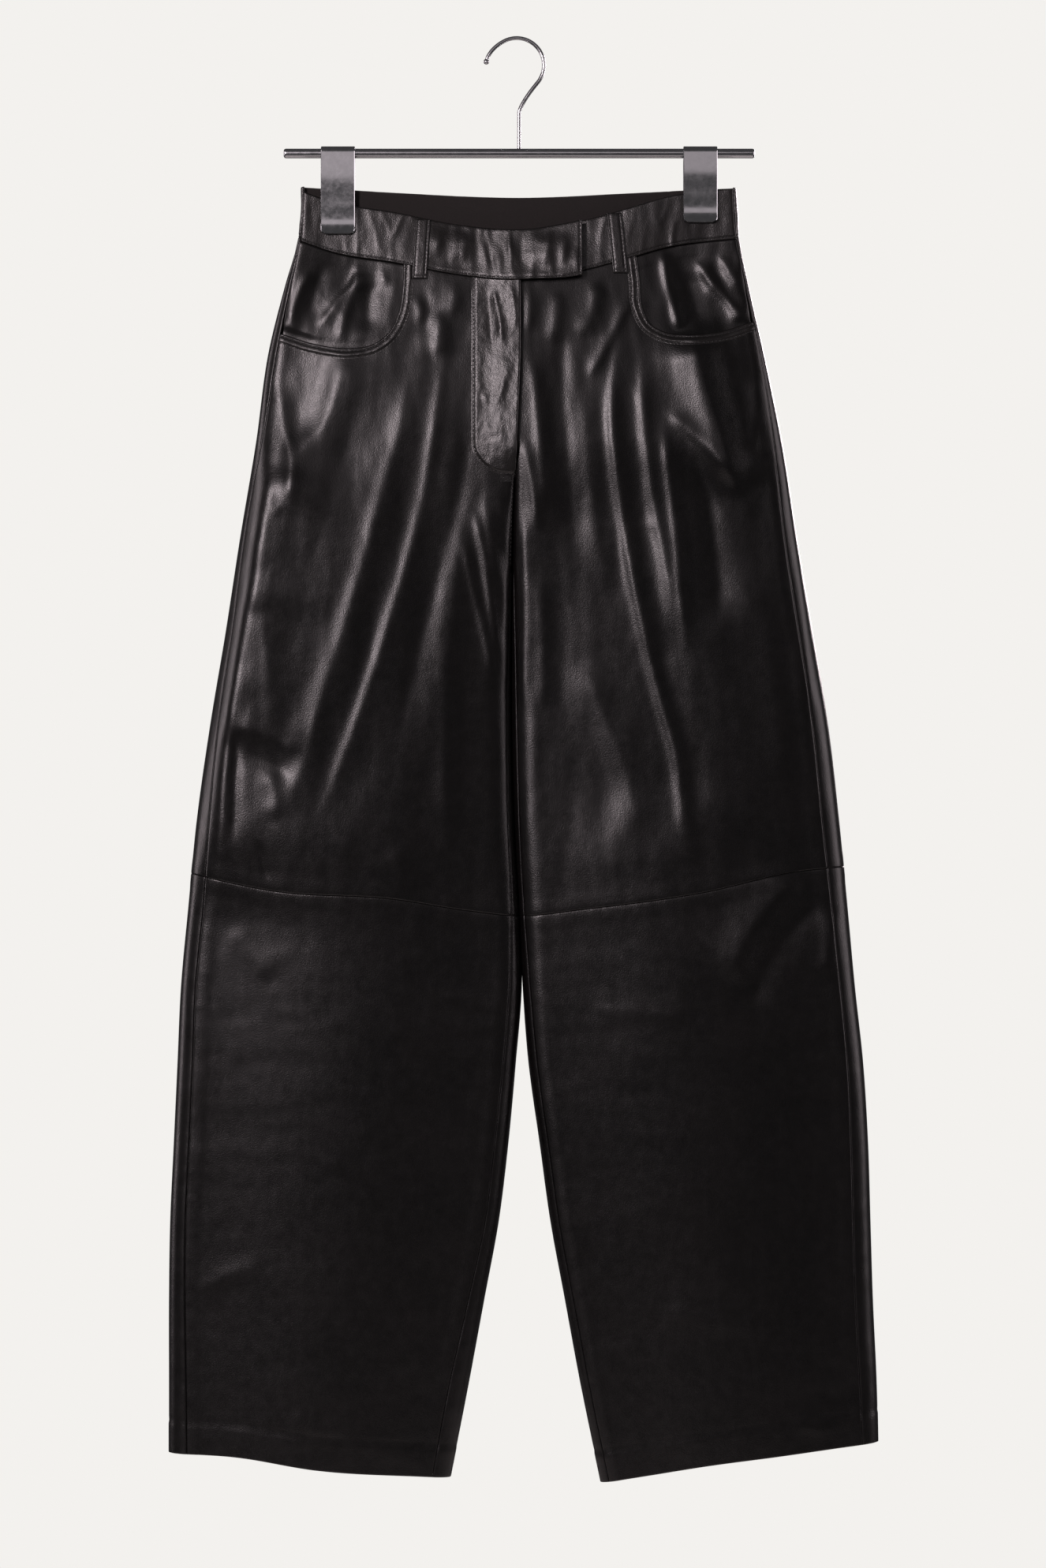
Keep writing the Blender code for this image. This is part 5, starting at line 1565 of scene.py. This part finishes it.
def make_front_band(side, inner_x, lift, end_rim):
    """One front half, from the outseam to inner_x."""
    down, from_foot = band_rows()
    share = 1 - down / BAND_HEIGHT
    level = front_waist(side.outer(WAIST_SIDE_Z)) + BAND_HEIGHT * share
    start_x = beside_outseam(side, level, 0.0)
    width = abs(inner_x - start_x.mean())
    across = spread(width, BAND_STEP, RIM, end_rim)
    x = lerp(start_x[:, None], inner_x, (across / width)[None, :])
    lifted = lift(x)
    z = front_band_at(share[:, None], x, lifted)
    out = front_band_out(x, z, lifted, from_foot[:, None])
    dip = stitch_dip(from_foot)[:, None]
    if end_rim is STITCHED_RIM:
        dip = np.maximum(dip, stitch_dip(width - across)[None, :])
    rim = rolled_rim(across, width, down, BAND_HEIGHT)
    node = f"waistband_front_{side.name}"
    lay_piece("front", node, x, z, out, dip, rim, BAND_WALL, NAPPA_BAND_PAINTED_LIGHTER)


def back_band_runs(ring, _):
    """From the outseam on the front, round the edge, to the middle of the back."""
    return ring.whole + ring.outseam, ring.back_corner


def back_band_height(x, rows):
    """The height of a row of the back band at x."""
    return back_waist(x) + BAND_HEIGHT * rows


def make_back_band():
    """One piece from outseam to outseam, made as two halves that meet."""
    down, from_foot = band_rows()
    share = 1 - down / BAND_HEIGHT
    across = spread(BACK_BAND_HALF, BACK_BAND_STEP, RIM, NO_RIM)
    one_run = np.zeros(len(across), int)
    halves = []
    for side in (LEFT, RIGHT):
        table = column_table(side, back_band_runs, one_run, across / BACK_BAND_HALF)
        halves.append(grid_on_columns(table, back_band_height, share))
    x, y, z, away_x, away_y = (
        np.concatenate([left, right[:, -2::-1]], axis=1)
        for left, right in zip(*halves)
    )
    width = 2 * BACK_BAND_HALF
    from_side = np.concatenate([across, width - across[-2::-1]])
    rim = rolled_rim(from_side, width, down, BAND_HEIGHT) * BAND_WALL / 2
    out = BAND_PROUD + band_wrinkles(x, z, BACK_SEED)
    dip = stitch_dip(from_foot)[:, None]
    outer = raised(x, y, z, away_x, away_y, out - dip - rim)
    inner = raised(x, y, z, away_x, away_y, out - BAND_WALL + rim)
    skins = (NAPPA_BAND_PAINTED_LIGHTER, SUEDE)
    made = leather_shell("leather_waistband_back", outer, inner, skins)
    declare_cloth(made, "waistband_back", np.stack([x, y, z], axis=-1))


make_front_band(RIGHT, TAB_END_X, tab_lift, STITCHED_RIM)
make_front_band(LEFT, UNDER_BAND_START_X, no_lift, RIM)
make_back_band()
print("waistband cut to:", CUT[-3:])

# %% [markdown]
# ## Belt loops
# Each loop is a folded strap 12 mm wide, edge-stitched down both sides, arched a
# little off the band so that a belt passes, and tacked at its foot.


# %% Make the belt loops
# Millimetres: x is the middle of a loop's top, and lean how far to the side its
# foot lies.
Loop = namedtuple("Loop", "name face x lean")
LOOPS = [
    Loop("belt_loop_1", "front", -77.5, -3),
    Loop("belt_loop_2", "front", 80.5, 5),
    Loop("belt_loop_3", "back", 98, 3),
    Loop("belt_loop_4", "back", 3, 0),
    Loop("belt_loop_5", "back", -92, -3),
]
LOOP_WIDTH = 12 * MM
LOOP_WALL = 1.6 * MM
LOOP_FOOT = 9 * MM
LOOP_TOP_MARGIN = 1 * MM
LOOP_TOP = BAND_HEIGHT - LOOP_TOP_MARGIN
LOOP_ARCH = 1.4 * MM
LOOP_ARCH_SHARE = 0.87
LOOP_WAVES = [Wave(0.10, 5, 8, 66)]
LOOP_STEPS = (1.0 * MM, 1.4 * MM)
TACK_FROM_END = 3 * MM
TACK_WIDTH = 1 * MM
TACK_DIP = 0.35 * MM


def loop_out(loop, share):
    """How far a loop stands off the garment, a share of the way down it."""
    arch = LOOP_ARCH * np.sin(math.pi * np.minimum(share / LOOP_ARCH_SHARE, 1.0))
    above_foot = np.maximum(lerp(LOOP_TOP, -LOOP_FOOT, share), 0.0)
    lean = band_lean(loop.x * MM, above_foot) if loop.face == "front" else 0.0
    return LAY_GAP + BAND_PROUD + LOOP_WALL + arch - lean


def loop_place(loop, share, across):
    """x and z on a loop: share runs down it, across is metres from its middle."""
    waist = front_waist if loop.face == "front" else back_waist
    middle = float(waist(loop.x * MM))
    z = lerp(middle + LOOP_TOP, middle - LOOP_FOOT, share)
    return (loop.x + loop.lean * share) * MM + across, z


def make_loop(loop):
    """One strap, stitched down both sides and tacked across its foot."""
    length = LOOP_TOP + LOOP_FOOT
    across = spread(LOOP_WIDTH, LOOP_STEPS[0], STITCHED_RIM, STITCHED_RIM)
    down = spread(length, LOOP_STEPS[1])
    share = (down / length)[:, None]
    x, z = loop_place(loop, share, (across - LOOP_WIDTH / 2)[None, :])
    z = z + 0 * x
    at_side = np.minimum(across, LOOP_WIDTH - across)[None, :]
    tack = TACK_DIP * bell(length - down - TACK_FROM_END, TACK_WIDTH)[:, None]
    dip = np.maximum(stitch_dip(at_side), tack)
    rim = rolled_rim(across, LOOP_WIDTH, down, length)
    out = loop_out(loop, share) + waves(x, z, LOOP_WAVES)
    lay_piece(loop.face, loop.name, x, z, out, dip, rim, LOOP_WALL, NAPPA_BAND_PAINTED_LIGHTER)


for loop in LOOPS:
    make_loop(loop)
print("loops:", len(LOOPS))


# %% [markdown]
# ## Stitches
# A row of topstitching is one small thread bead repeated at an even pitch along
# a path, which is just what Geometry Nodes are for: the tree turns a curve into
# points, sets a bead on each, turns it along the path, and realizes the result.

# %% The stitch tree
STITCH_PITCH = 3.4 * MM
STITCH_LENGTH = 2.7 * MM
THREAD_THICKNESS = 0.75 * MM


def stitch_tree():
    """Its inputs are the paths, three sizes and the thread's material."""
    tree = bpy.data.node_groups.new("row_of_stitches", "GeometryNodeTree")
    face = tree.interface
    face.new_socket("Paths", in_out="INPUT", socket_type="NodeSocketGeometry")
    for name, value in (
        ("Pitch", STITCH_PITCH),
        ("Stitch length", STITCH_LENGTH),
        ("Thread thickness", THREAD_THICKNESS),
    ):
        made = face.new_socket(name, in_out="INPUT", socket_type="NodeSocketFloat")
        made.default_value = value
    face.new_socket("Thread", in_out="INPUT", socket_type="NodeSocketMaterial")
    face.new_socket("Stitches", in_out="OUTPUT", socket_type="NodeSocketGeometry")
    given = add_node(tree, "NodeGroupInput").outputs
    points = add_node(
        tree,
        "GeometryNodeCurveToPoints",
        {"mode": "LENGTH"},
        {"Curve": given["Paths"], "Length": given["Pitch"]},
    ).outputs
    along = add_node(
        tree,
        "FunctionNodeAlignRotationToVector",
        {"axis": "X"},
        {"Vector": points["Tangent"]},
    ).outputs
    bead = add_node(
        tree, "GeometryNodeMeshUVSphere", {"Segments": 8, "Rings": 6, "Radius": 0.5}
    ).outputs
    thick = given["Thread thickness"]
    size = add_node(
        tree,
        "ShaderNodeCombineXYZ",
        links={"X": given["Stitch length"], "Y": thick, "Z": thick},
    ).outputs
    beads = add_node(
        tree,
        "GeometryNodeInstanceOnPoints",
        links={
            "Points": points["Points"],
            "Instance": bead["Mesh"],
            "Rotation": along["Rotation"],
            "Scale": size["Vector"],
        },
    ).outputs
    real = add_node(
        tree, "GeometryNodeRealizeInstances", links={"Geometry": beads["Instances"]}
    ).outputs
    dyed = add_node(
        tree,
        "GeometryNodeSetMaterial",
        links={"Geometry": real["Geometry"], "Material": given["Thread"]},
    ).outputs
    add_node(tree, "NodeGroupOutput", links={0: dyed["Geometry"]})
    return tree


STITCH_TREE = stitch_tree()
print("nodes in the stitch tree:", len(STITCH_TREE.nodes))


# %% Sewing along paths
def sew(name, paths, **sizes):
    """Turns paths of points into one mesh of thread."""
    curve = bpy.data.curves.new(name, "CURVE")
    curve.dimensions = "3D"
    for path in paths:
        spline = curve.splines.new("POLY")
        spline.points.add(len(path) - 1)
        weighted = np.concatenate([path, np.ones((len(path), 1))], axis=1)
        spline.points.foreach_set("co", weighted.ravel())
    guide = bpy.data.objects.new(name + "_guide", curve)
    bpy.context.scene.collection.objects.link(guide)
    modifier = guide.modifiers.new("stitches", "NODES")
    modifier.node_group = STITCH_TREE
    inputs = sizes | {"Thread": THREAD}
    for item in STITCH_TREE.interface.items_tree:
        if item.in_out == "INPUT" and item.name in inputs:
            modifier[item.identifier] = inputs[item.name]
    graph = bpy.context.evaluated_depsgraph_get()
    mesh = bpy.data.meshes.new_from_object(guide.evaluated_get(graph))
    bpy.data.objects.remove(guide)
    made = add_piece(name, mesh)
    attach(made, "root")
    print(name, "triangles:", sum(len(p.vertices) - 2 for p in mesh.polygons))


print("pitch:", STITCH_PITCH / MM, "mm")

# %% [markdown]
# ### Where the stitches run
# Thread is pulled half into the leather, so each row lies a few tenths of a
# millimetre above its panel, in the groove that it makes. The short dense bars at
# the loops' feet and below the fly are tacks, sewn to take the strain.

# %% Rows and tacks
THREAD_ABOVE_GROOVE = 0.25 * MM
ROW_SHARE = STITCH_FROM_EDGE / BAND_HEIGHT
ROW_FROM_SEAM = 2 * MM
TAB_ROW_TOP = 0.97
FLY_ROW_RISE = 0.40 * MM
FLY_ROW_SKIP = 3
CROTCH_ROW_END_Z = -434 * MM
CROTCH_ROW_FROM_SEAM = 1.9 * MM
CROTCH_ROW_RISE = 0.10 * MM
EDGE_ROWS = [(1.8, 0.42), (7.0, 0.18)]
BACK_ROW_X = (-172 * MM, 176 * MM)
BACK_ROW_SINK = 0.1 * MM
LOOP_ROW_SHARES = (0.05, 0.93)
LOOP_ROW_SINK = 0.15 * MM
LOOP_TACK_SHARES = (0.935, 0.95)
LOOP_TACK_HALF = 4.4 * MM
LOOP_TACK_SINK = 0.10 * MM
FLY_TACK_X = (-12.5 * MM, -5.0 * MM)
FLY_TACK_Z = (-362.6 * MM, -366.6 * MM)
FLY_TACK_RISE = 0.22 * MM
TACK_SIZES = {
    "Pitch": 1.1 * MM,
    "Stitch length": 1.5 * MM,
    "Thread thickness": 0.6 * MM,
}


def band_row(x, lift, share):
    """Along the front band, a share of the way up it."""
    z = front_band_at(share, x, lift)
    out = front_band_out(x, z, lift, share * BAND_HEIGHT)
    return laid("front", x, z, out - STITCH_DIP + THREAD_ABOVE_GROOVE)


def front_paths():
    """The band and the tab's end, the J and the seam below it, the pockets."""
    tab_x = TAB_END_X - STITCH_FROM_EDGE
    x = np.linspace(beside_outseam(RIGHT, WAIST_SIDE_Z, ROW_FROM_SEAM), tab_x, 240)
    yield band_row(x, tab_lift(x), ROW_SHARE)
    share = np.linspace(ROW_SHARE, TAB_ROW_TOP, 40)
    yield band_row(np.full(40, tab_x), tab_lift(tab_x), share)
    end_x = beside_outseam(LEFT, WAIST_SIDE_Z, ROW_FROM_SEAM)
    x = np.linspace(TAB_END_X + ROW_FROM_SEAM, end_x, 120)
    yield band_row(x, no_lift(x), ROW_SHARE)
    x, z = j_line(0.0)[FLY_ROW_SKIP:].T
    yield laid("front", x, z, FLY_ROW_RISE)
    z = np.linspace(FLY_STITCH_Z - 1.5 * MM, CROTCH_ROW_END_Z, 60)
    yield laid("front", RIGHT.inner(z) - CROTCH_ROW_FROM_SEAM, z, CROTCH_ROW_RISE)
    for side in SIDES:
        for inset, rise in EDGE_ROWS:
            x, z = beside_mouth(side, inset * MM, 200)[4:-2].T
            yield laid("front", x, z, rise * MM)


def back_path():
    """Along the back band's lower edge."""
    x = np.linspace(*BACK_ROW_X, 260)
    z = back_waist(x) + STITCH_FROM_EDGE
    return laid("back", x, z, BAND_PROUD + band_wrinkles(x, z, BACK_SEED) - BACK_ROW_SINK)


def loop_paths():
    """Down both sides of each loop."""
    share = np.linspace(*LOOP_ROW_SHARES, 40)
    for loop in LOOPS:
        for edge in (-1, 1):
            across = edge * (LOOP_WIDTH / 2 - STITCH_FROM_EDGE)
            x, z = loop_place(loop, share, across)
            yield laid(loop.face, x, z, loop_out(loop, share) - LOOP_ROW_SINK)


def tack_paths():
    """Short dense bars: two at the foot of each loop and five below the fly."""
    across = np.linspace(-LOOP_TACK_HALF, LOOP_TACK_HALF, 12)
    for loop in LOOPS:
        for row in LOOP_TACK_SHARES:
            x, z = loop_place(loop, row + 0 * across, across)
            yield laid(loop.face, x, z, loop_out(loop, row) - LOOP_TACK_SINK)
    for z in np.linspace(*FLY_TACK_Z, 5):
        yield laid("front", np.linspace(*FLY_TACK_X, 10), z, FLY_TACK_RISE)


sew("thread_front", [*front_paths(), back_path(), *loop_paths()])
sew("thread_tacks", tack_paths(), **TACK_SIZES)
print("loops sewn:", len(LOOPS))


# %% [markdown]
# ## The hanger
# Plain and hard: a wire hook with a ball at its tip, a round bar with domed ends
# and two clips of sprung strip. A round sweep along a line makes the first two,
# and the clips are an outline given a width, with its edges rounded off.

# %% Round wire and bar
HOOK_WIRE_R = 1.6 * MM
HOOK_R = 22.5 * MM
HOOK_ARC = (-38, 168)
HOOK_OPENS_AT = 110
HOOK_OPENS_OVER = 60
HOOK_OPENING = 0.12
HOOK_TIP_BALL_R = 2.4 * MM
HOOK_TIP_BALL_ARC = (0.9, math.pi - 0.12)
HOOK_BEND_Z = -60 * MM
HOOK_LEAN_POWER = 1.35
BAR_Z = -94 * MM
BAR_R = 4 * MM
BAR_LENGTH = 390 * MM
BAR_DOME = 2 * MM
SHARP_ANGLE = 40


def finish_metal(made, node):
    """Keeps a piece's hard edges hard and lets it take its node's place."""
    made.data.set_sharp_from_angle(angle=math.radians(SHARP_ANGLE))
    hand_over(made, node)


def swept_round(name, node, path, radii, sides):
    """A round bar along a line in the plane of the hanger, with closed ends."""
    ahead = directions(path)
    beside = np.stack([-ahead[:, 1], ahead[:, 0]], axis=-1)
    turn = np.linspace(0, 2 * math.pi, sides, endpoint=False)
    r = radii[:, None]
    x = path[:, :1] + beside[:, :1] * r * np.cos(turn)
    z = path[:, 1:] + beside[:, 1:] * r * np.cos(turn)
    grid = np.stack([x, r * np.sin(turn), z], axis=-1)
    finish_metal(closed_tube(name, grid, CHROME), node)


def make_hook():
    """Up from the bar, leaning into the bend, round it and out to the ball."""
    angle = np.radians(np.linspace(*HOOK_ARC, 80))
    past = (angle - math.radians(HOOK_OPENS_AT)) / math.radians(HOOK_OPENS_OVER)
    bend_x = HOOK_R * (1 + HOOK_OPENING * smoothstep(past)) * np.cos(angle)
    bend_z = HOOK_WIRE_R - HOOK_R + HOOK_R * np.sin(angle)
    bend = np.stack([bend_x, bend_z], axis=-1)
    t = np.linspace(0, 1, 24)[:-1]
    lean_x = lerp(HANGER_X, bend[0, 0], t**HOOK_LEAN_POWER)
    lean = np.stack([lean_x, lerp(HOOK_BEND_Z, bend[0, 1], t)], axis=-1)
    shank_z = np.linspace(BAR_Z + BAR_R, HOOK_BEND_Z, 12)[:-1]
    shank = np.stack([np.full(11, HANGER_X), shank_z], axis=-1)
    ahead = (bend[-1] - bend[-2]) / np.linalg.norm(bend[-1] - bend[-2])
    neck = math.sqrt(HOOK_TIP_BALL_R**2 - HOOK_WIRE_R**2)
    along = -HOOK_TIP_BALL_R * np.cos(np.linspace(*HOOK_TIP_BALL_ARC, 14))
    along = along[neck + along > 0.1 * MM]
    ball = bend[-1] + ahead * (neck + along)[:, None]
    ball_r = np.sqrt(HOOK_TIP_BALL_R**2 - along**2)
    wire = np.concatenate([shank, lean, bend])
    radii = np.concatenate([np.full(len(wire), HOOK_WIRE_R), ball_r])
    path = np.concatenate([wire, ball])
    swept_round("chrome_hook", "hanger_hook", path, radii, 24)


def make_bar():
    """A round bar with domed ends."""
    dome = np.linspace(0.15, math.pi / 2, 8)[::-1]
    x = BAR_LENGTH / 2 - BAR_DOME + BAR_DOME * np.cos(dome)
    radii = BAR_R - BAR_DOME + BAR_DOME * np.sin(dome)
    x = np.concatenate([-x[::-1], x])
    radii = np.concatenate([radii[::-1], radii])
    path = np.stack([HANGER_X + x, np.full(len(x), BAR_Z)], axis=-1)
    swept_round("chrome_bar", "hanger_bar", path, radii, 40)


make_hook()
make_bar()
print("hook opening:", np.round(2 * (HOOK_R - HOOK_WIRE_R) / MM, 1), "mm inside")

# %% The sprung clips
CLIP_WIDTH = 28 * MM
CLIP_WALL = 1.6 * MM
CLIP_GAP = 0.3 * MM
CLIP_GRIP_DEPTH = 20 * MM
CLIP_FLARE = 2.5 * MM
CLIP_FLARE_DROP = 6 * MM
CLIP_CORNER = 4 * MM
CLIP_ACROSS = np.array([-1.0, -0.97, 0.97, 1.0])
CLIP_ROUNDED = np.array([0.55, 1.0, 1.0, 0.55])


def half_grip(centre_x, heights):
    """Half the thickness of the waistband where a clip holds it."""
    edge = CLIP_WIDTH / 2
    x, z = np.meshgrid(centre_x + np.array([-edge, 0, edge]), heights)
    faces = [laid(face, x, z, BAND_PROUD) for face in ("front", "back")]
    return np.abs(np.array(faces)[..., 1]).max()


def make_clip(side):
    """One strip bent over the bar, with a jaw in front and one behind."""
    centre_x = HANGER_X + side.sign * CLIP_X_FROM_CENTRE
    band_top = float(front_waist(centre_x)) + BAND_HEIGHT
    foot_z = band_top - CLIP_GRIP_DEPTH
    grip = half_grip(centre_x, [band_top, foot_z])
    reach = grip + CLIP_GAP + CLIP_WALL / 2
    bend_r = BAR_R + CLIP_GAP + CLIP_WALL / 2
    turn = np.linspace(0, math.pi, 33)
    bend = np.stack([-bend_r * np.cos(turn), BAR_Z + bend_r * np.sin(turn)], axis=-1)
    jaw = [
        (-reach - CLIP_FLARE, foot_z - CLIP_FLARE_DROP),
        (-reach, foot_z),
        (-reach, band_top - 2 * MM),
        (-bend_r - 1 * MM, (band_top + BAR_Z) / 2),
        (-bend_r, BAR_Z),
    ]
    leg = along_path(jaw, 40)[:-1]
    path = np.concatenate([leg, bend, leg[::-1] * [-1, 1]])
    ahead = directions(path)
    beside = np.stack([-ahead[:, 1], ahead[:, 0]], axis=-1) * CLIP_WALL / 2
    run = run_along(path)
    short = 1 - np.clip(np.minimum(run, run[-1] - run) / CLIP_CORNER, 0, 1)
    half = CLIP_WIDTH / 2 - CLIP_CORNER * (1 - np.sqrt(1 - short**2))
    x = centre_x + half[:, None] * CLIP_ACROSS
    layers = []
    for out in (1, -1):
        at = path[:, None, :] + out * beside[:, None, :] * CLIP_ROUNDED[None, :, None]
        layers.append(np.stack([x, at[..., 0], at[..., 1]], axis=-1))
    grid = np.concatenate([layers[0], layers[1][:, ::-1]], axis=1)
    made = closed_tube(f"chrome_clip_{side.name}", grid, CHROME)
    finish_metal(made, f"hanger_clip_{side.name}")
    print("clip jaws half open:", round(grip * 1000, 2), "mm")


for side in SIDES:
    make_clip(side)


# %% [markdown]
# ## Floor, light and camera
# The studio is pale and plain. Black leather only shows its form by what it
# reflects, so the surround is dim for reflections, while the camera sees it
# pale, and one large soft light from the upper left draws the bright streaks
# down the creases. A weak light on the right and two behind keep the other sides
# readable.

# %% Floor and surround
SCENE = bpy.context.scene
FLOOR_Z = -1.55
FLOOR_R = 1.1
SURROUND_LIGHT = 0.075


def make_floor():
    """A round painted floor below the trousers."""
    shape = bmesh.new()
    bmesh.ops.create_circle(shape, cap_ends=True, radius=FLOOR_R, segments=96)
    bmesh.ops.translate(shape, verts=shape.verts, vec=(0, 0, FLOOR_Z))
    mesh = bpy.data.meshes.new("studio_floor")
    shape.to_mesh(mesh)
    shape.free()
    pale = {"Roughness": 0.8, "Base Color": (*linear("#e6e4df"), 1)}
    mesh.materials.append(new_material("floor_paint", pale)[0])
    floor = bpy.data.objects.new("studio_floor", mesh)
    SCENE.collection.objects.link(floor)


def backdrop(tree, colour, strength):
    """One even colour all round."""
    settings = {"Color": (*linear(colour), 1), "Strength": strength}
    made = add_node(tree, "ShaderNodeBackground", settings)
    return made.outputs["Background"]


def make_surround():
    """Pale to the camera, and dim to everything that it lights."""
    world = bpy.data.worlds.new("studio")
    SCENE.world = world
    world.use_nodes = True
    tree = world.node_tree
    tree.nodes.clear()
    seen = backdrop(tree, "#f3f1ee", 1.0)
    lit = backdrop(tree, "#f0ecee", SURROUND_LIGHT)
    ray = add_node(tree, "ShaderNodeLightPath").outputs["Is Camera Ray"]
    mix = add_node(tree, "ShaderNodeMixShader", links={0: ray, 1: lit, 2: seen})
    add_node(tree, "ShaderNodeOutputWorld", links={"Surface": mix.outputs["Shader"]})


make_floor()
make_surround()
SCENE.view_settings.view_transform = "Standard"
SCENE.view_settings.look = "None"
print("floor at:", FLOOR_Z, "m")

# %% Lights
# Degrees, metres and watts. Azimuth 0 is in front and 90 to the wearer's left.
Softbox = namedtuple("Softbox", "name azimuth elevation distance width height power")
SOFTBOXES = [
    Softbox("key", -29, 17, 3.0, 0.35, 1.1, 46),
    Softbox("soft_front", -6, 24, 3.4, 2.2, 1.2, 3.5),
    Softbox("left_edge", -98, 12, 2.6, 0.7, 2.2, 18),
    Softbox("right_edge", 84, 12, 2.8, 1.5, 2.2, 24),
    Softbox("back_key", 151, 17, 3.0, 0.35, 1.1, 46),
    Softbox("back_fill", 186, 24, 3.4, 2.2, 1.2, 3.5),
]
AIM = np.array([0.0, 0.0, -0.60])
LAMP_COLOUR = linear("#fff0f4")


def make_softbox(box):
    """A rectangular lamp that faces the middle of the trousers."""
    turn, rise = math.radians(box.azimuth), math.radians(box.elevation)
    level = np.array([math.sin(turn), -math.cos(turn), 0.0]) * math.cos(rise)
    away = level + np.array([0.0, 0.0, math.sin(rise)])
    light = bpy.data.lights.new(box.name, "AREA")
    light.shape = "RECTANGLE"
    light.size = box.width
    light.size_y = box.height
    light.energy = box.power
    light.color = LAMP_COLOUR
    lamp = bpy.data.objects.new(box.name, light)
    lamp.location = AIM + away * box.distance
    lamp.rotation_euler = (math.pi / 2 - rise, 0, turn)
    lamp.visible_camera = False
    SCENE.collection.objects.link(lamp)


for box in SOFTBOXES:
    make_softbox(box)
print("lamps:", [box.name for box in SOFTBOXES])

# %% Camera
# A long lens, level, four metres from the front of the cloth.
PICTURE_ROWS = 1988
ROW_HEIGHT = 0.65 * MM
SENSOR_HEIGHT = 24
LENS_DISTANCE = 4.0
CLOTH_FRONT_Y = -20 * MM
CAMERA_X = 5.2 * MM
CAMERA_Z = -616.2 * MM
camera_data = bpy.data.cameras.new("camera")
camera_data.sensor_fit = "VERTICAL"
camera_data.sensor_height = SENSOR_HEIGHT
camera_data.lens = SENSOR_HEIGHT * LENS_DISTANCE / (PICTURE_ROWS * ROW_HEIGHT)
camera = bpy.data.objects.new("camera", camera_data)
camera.location = (CAMERA_X, CLOTH_FRONT_Y - LENS_DISTANCE, CAMERA_Z)
camera.rotation_euler = (math.pi / 2, 0, 0)
SCENE.collection.objects.link(camera)
SCENE.camera = camera
print("lens:", round(camera_data.lens, 1), "mm")


# %% Sizes and finish
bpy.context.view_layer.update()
for row in CUT:
    print("cut:", *row)
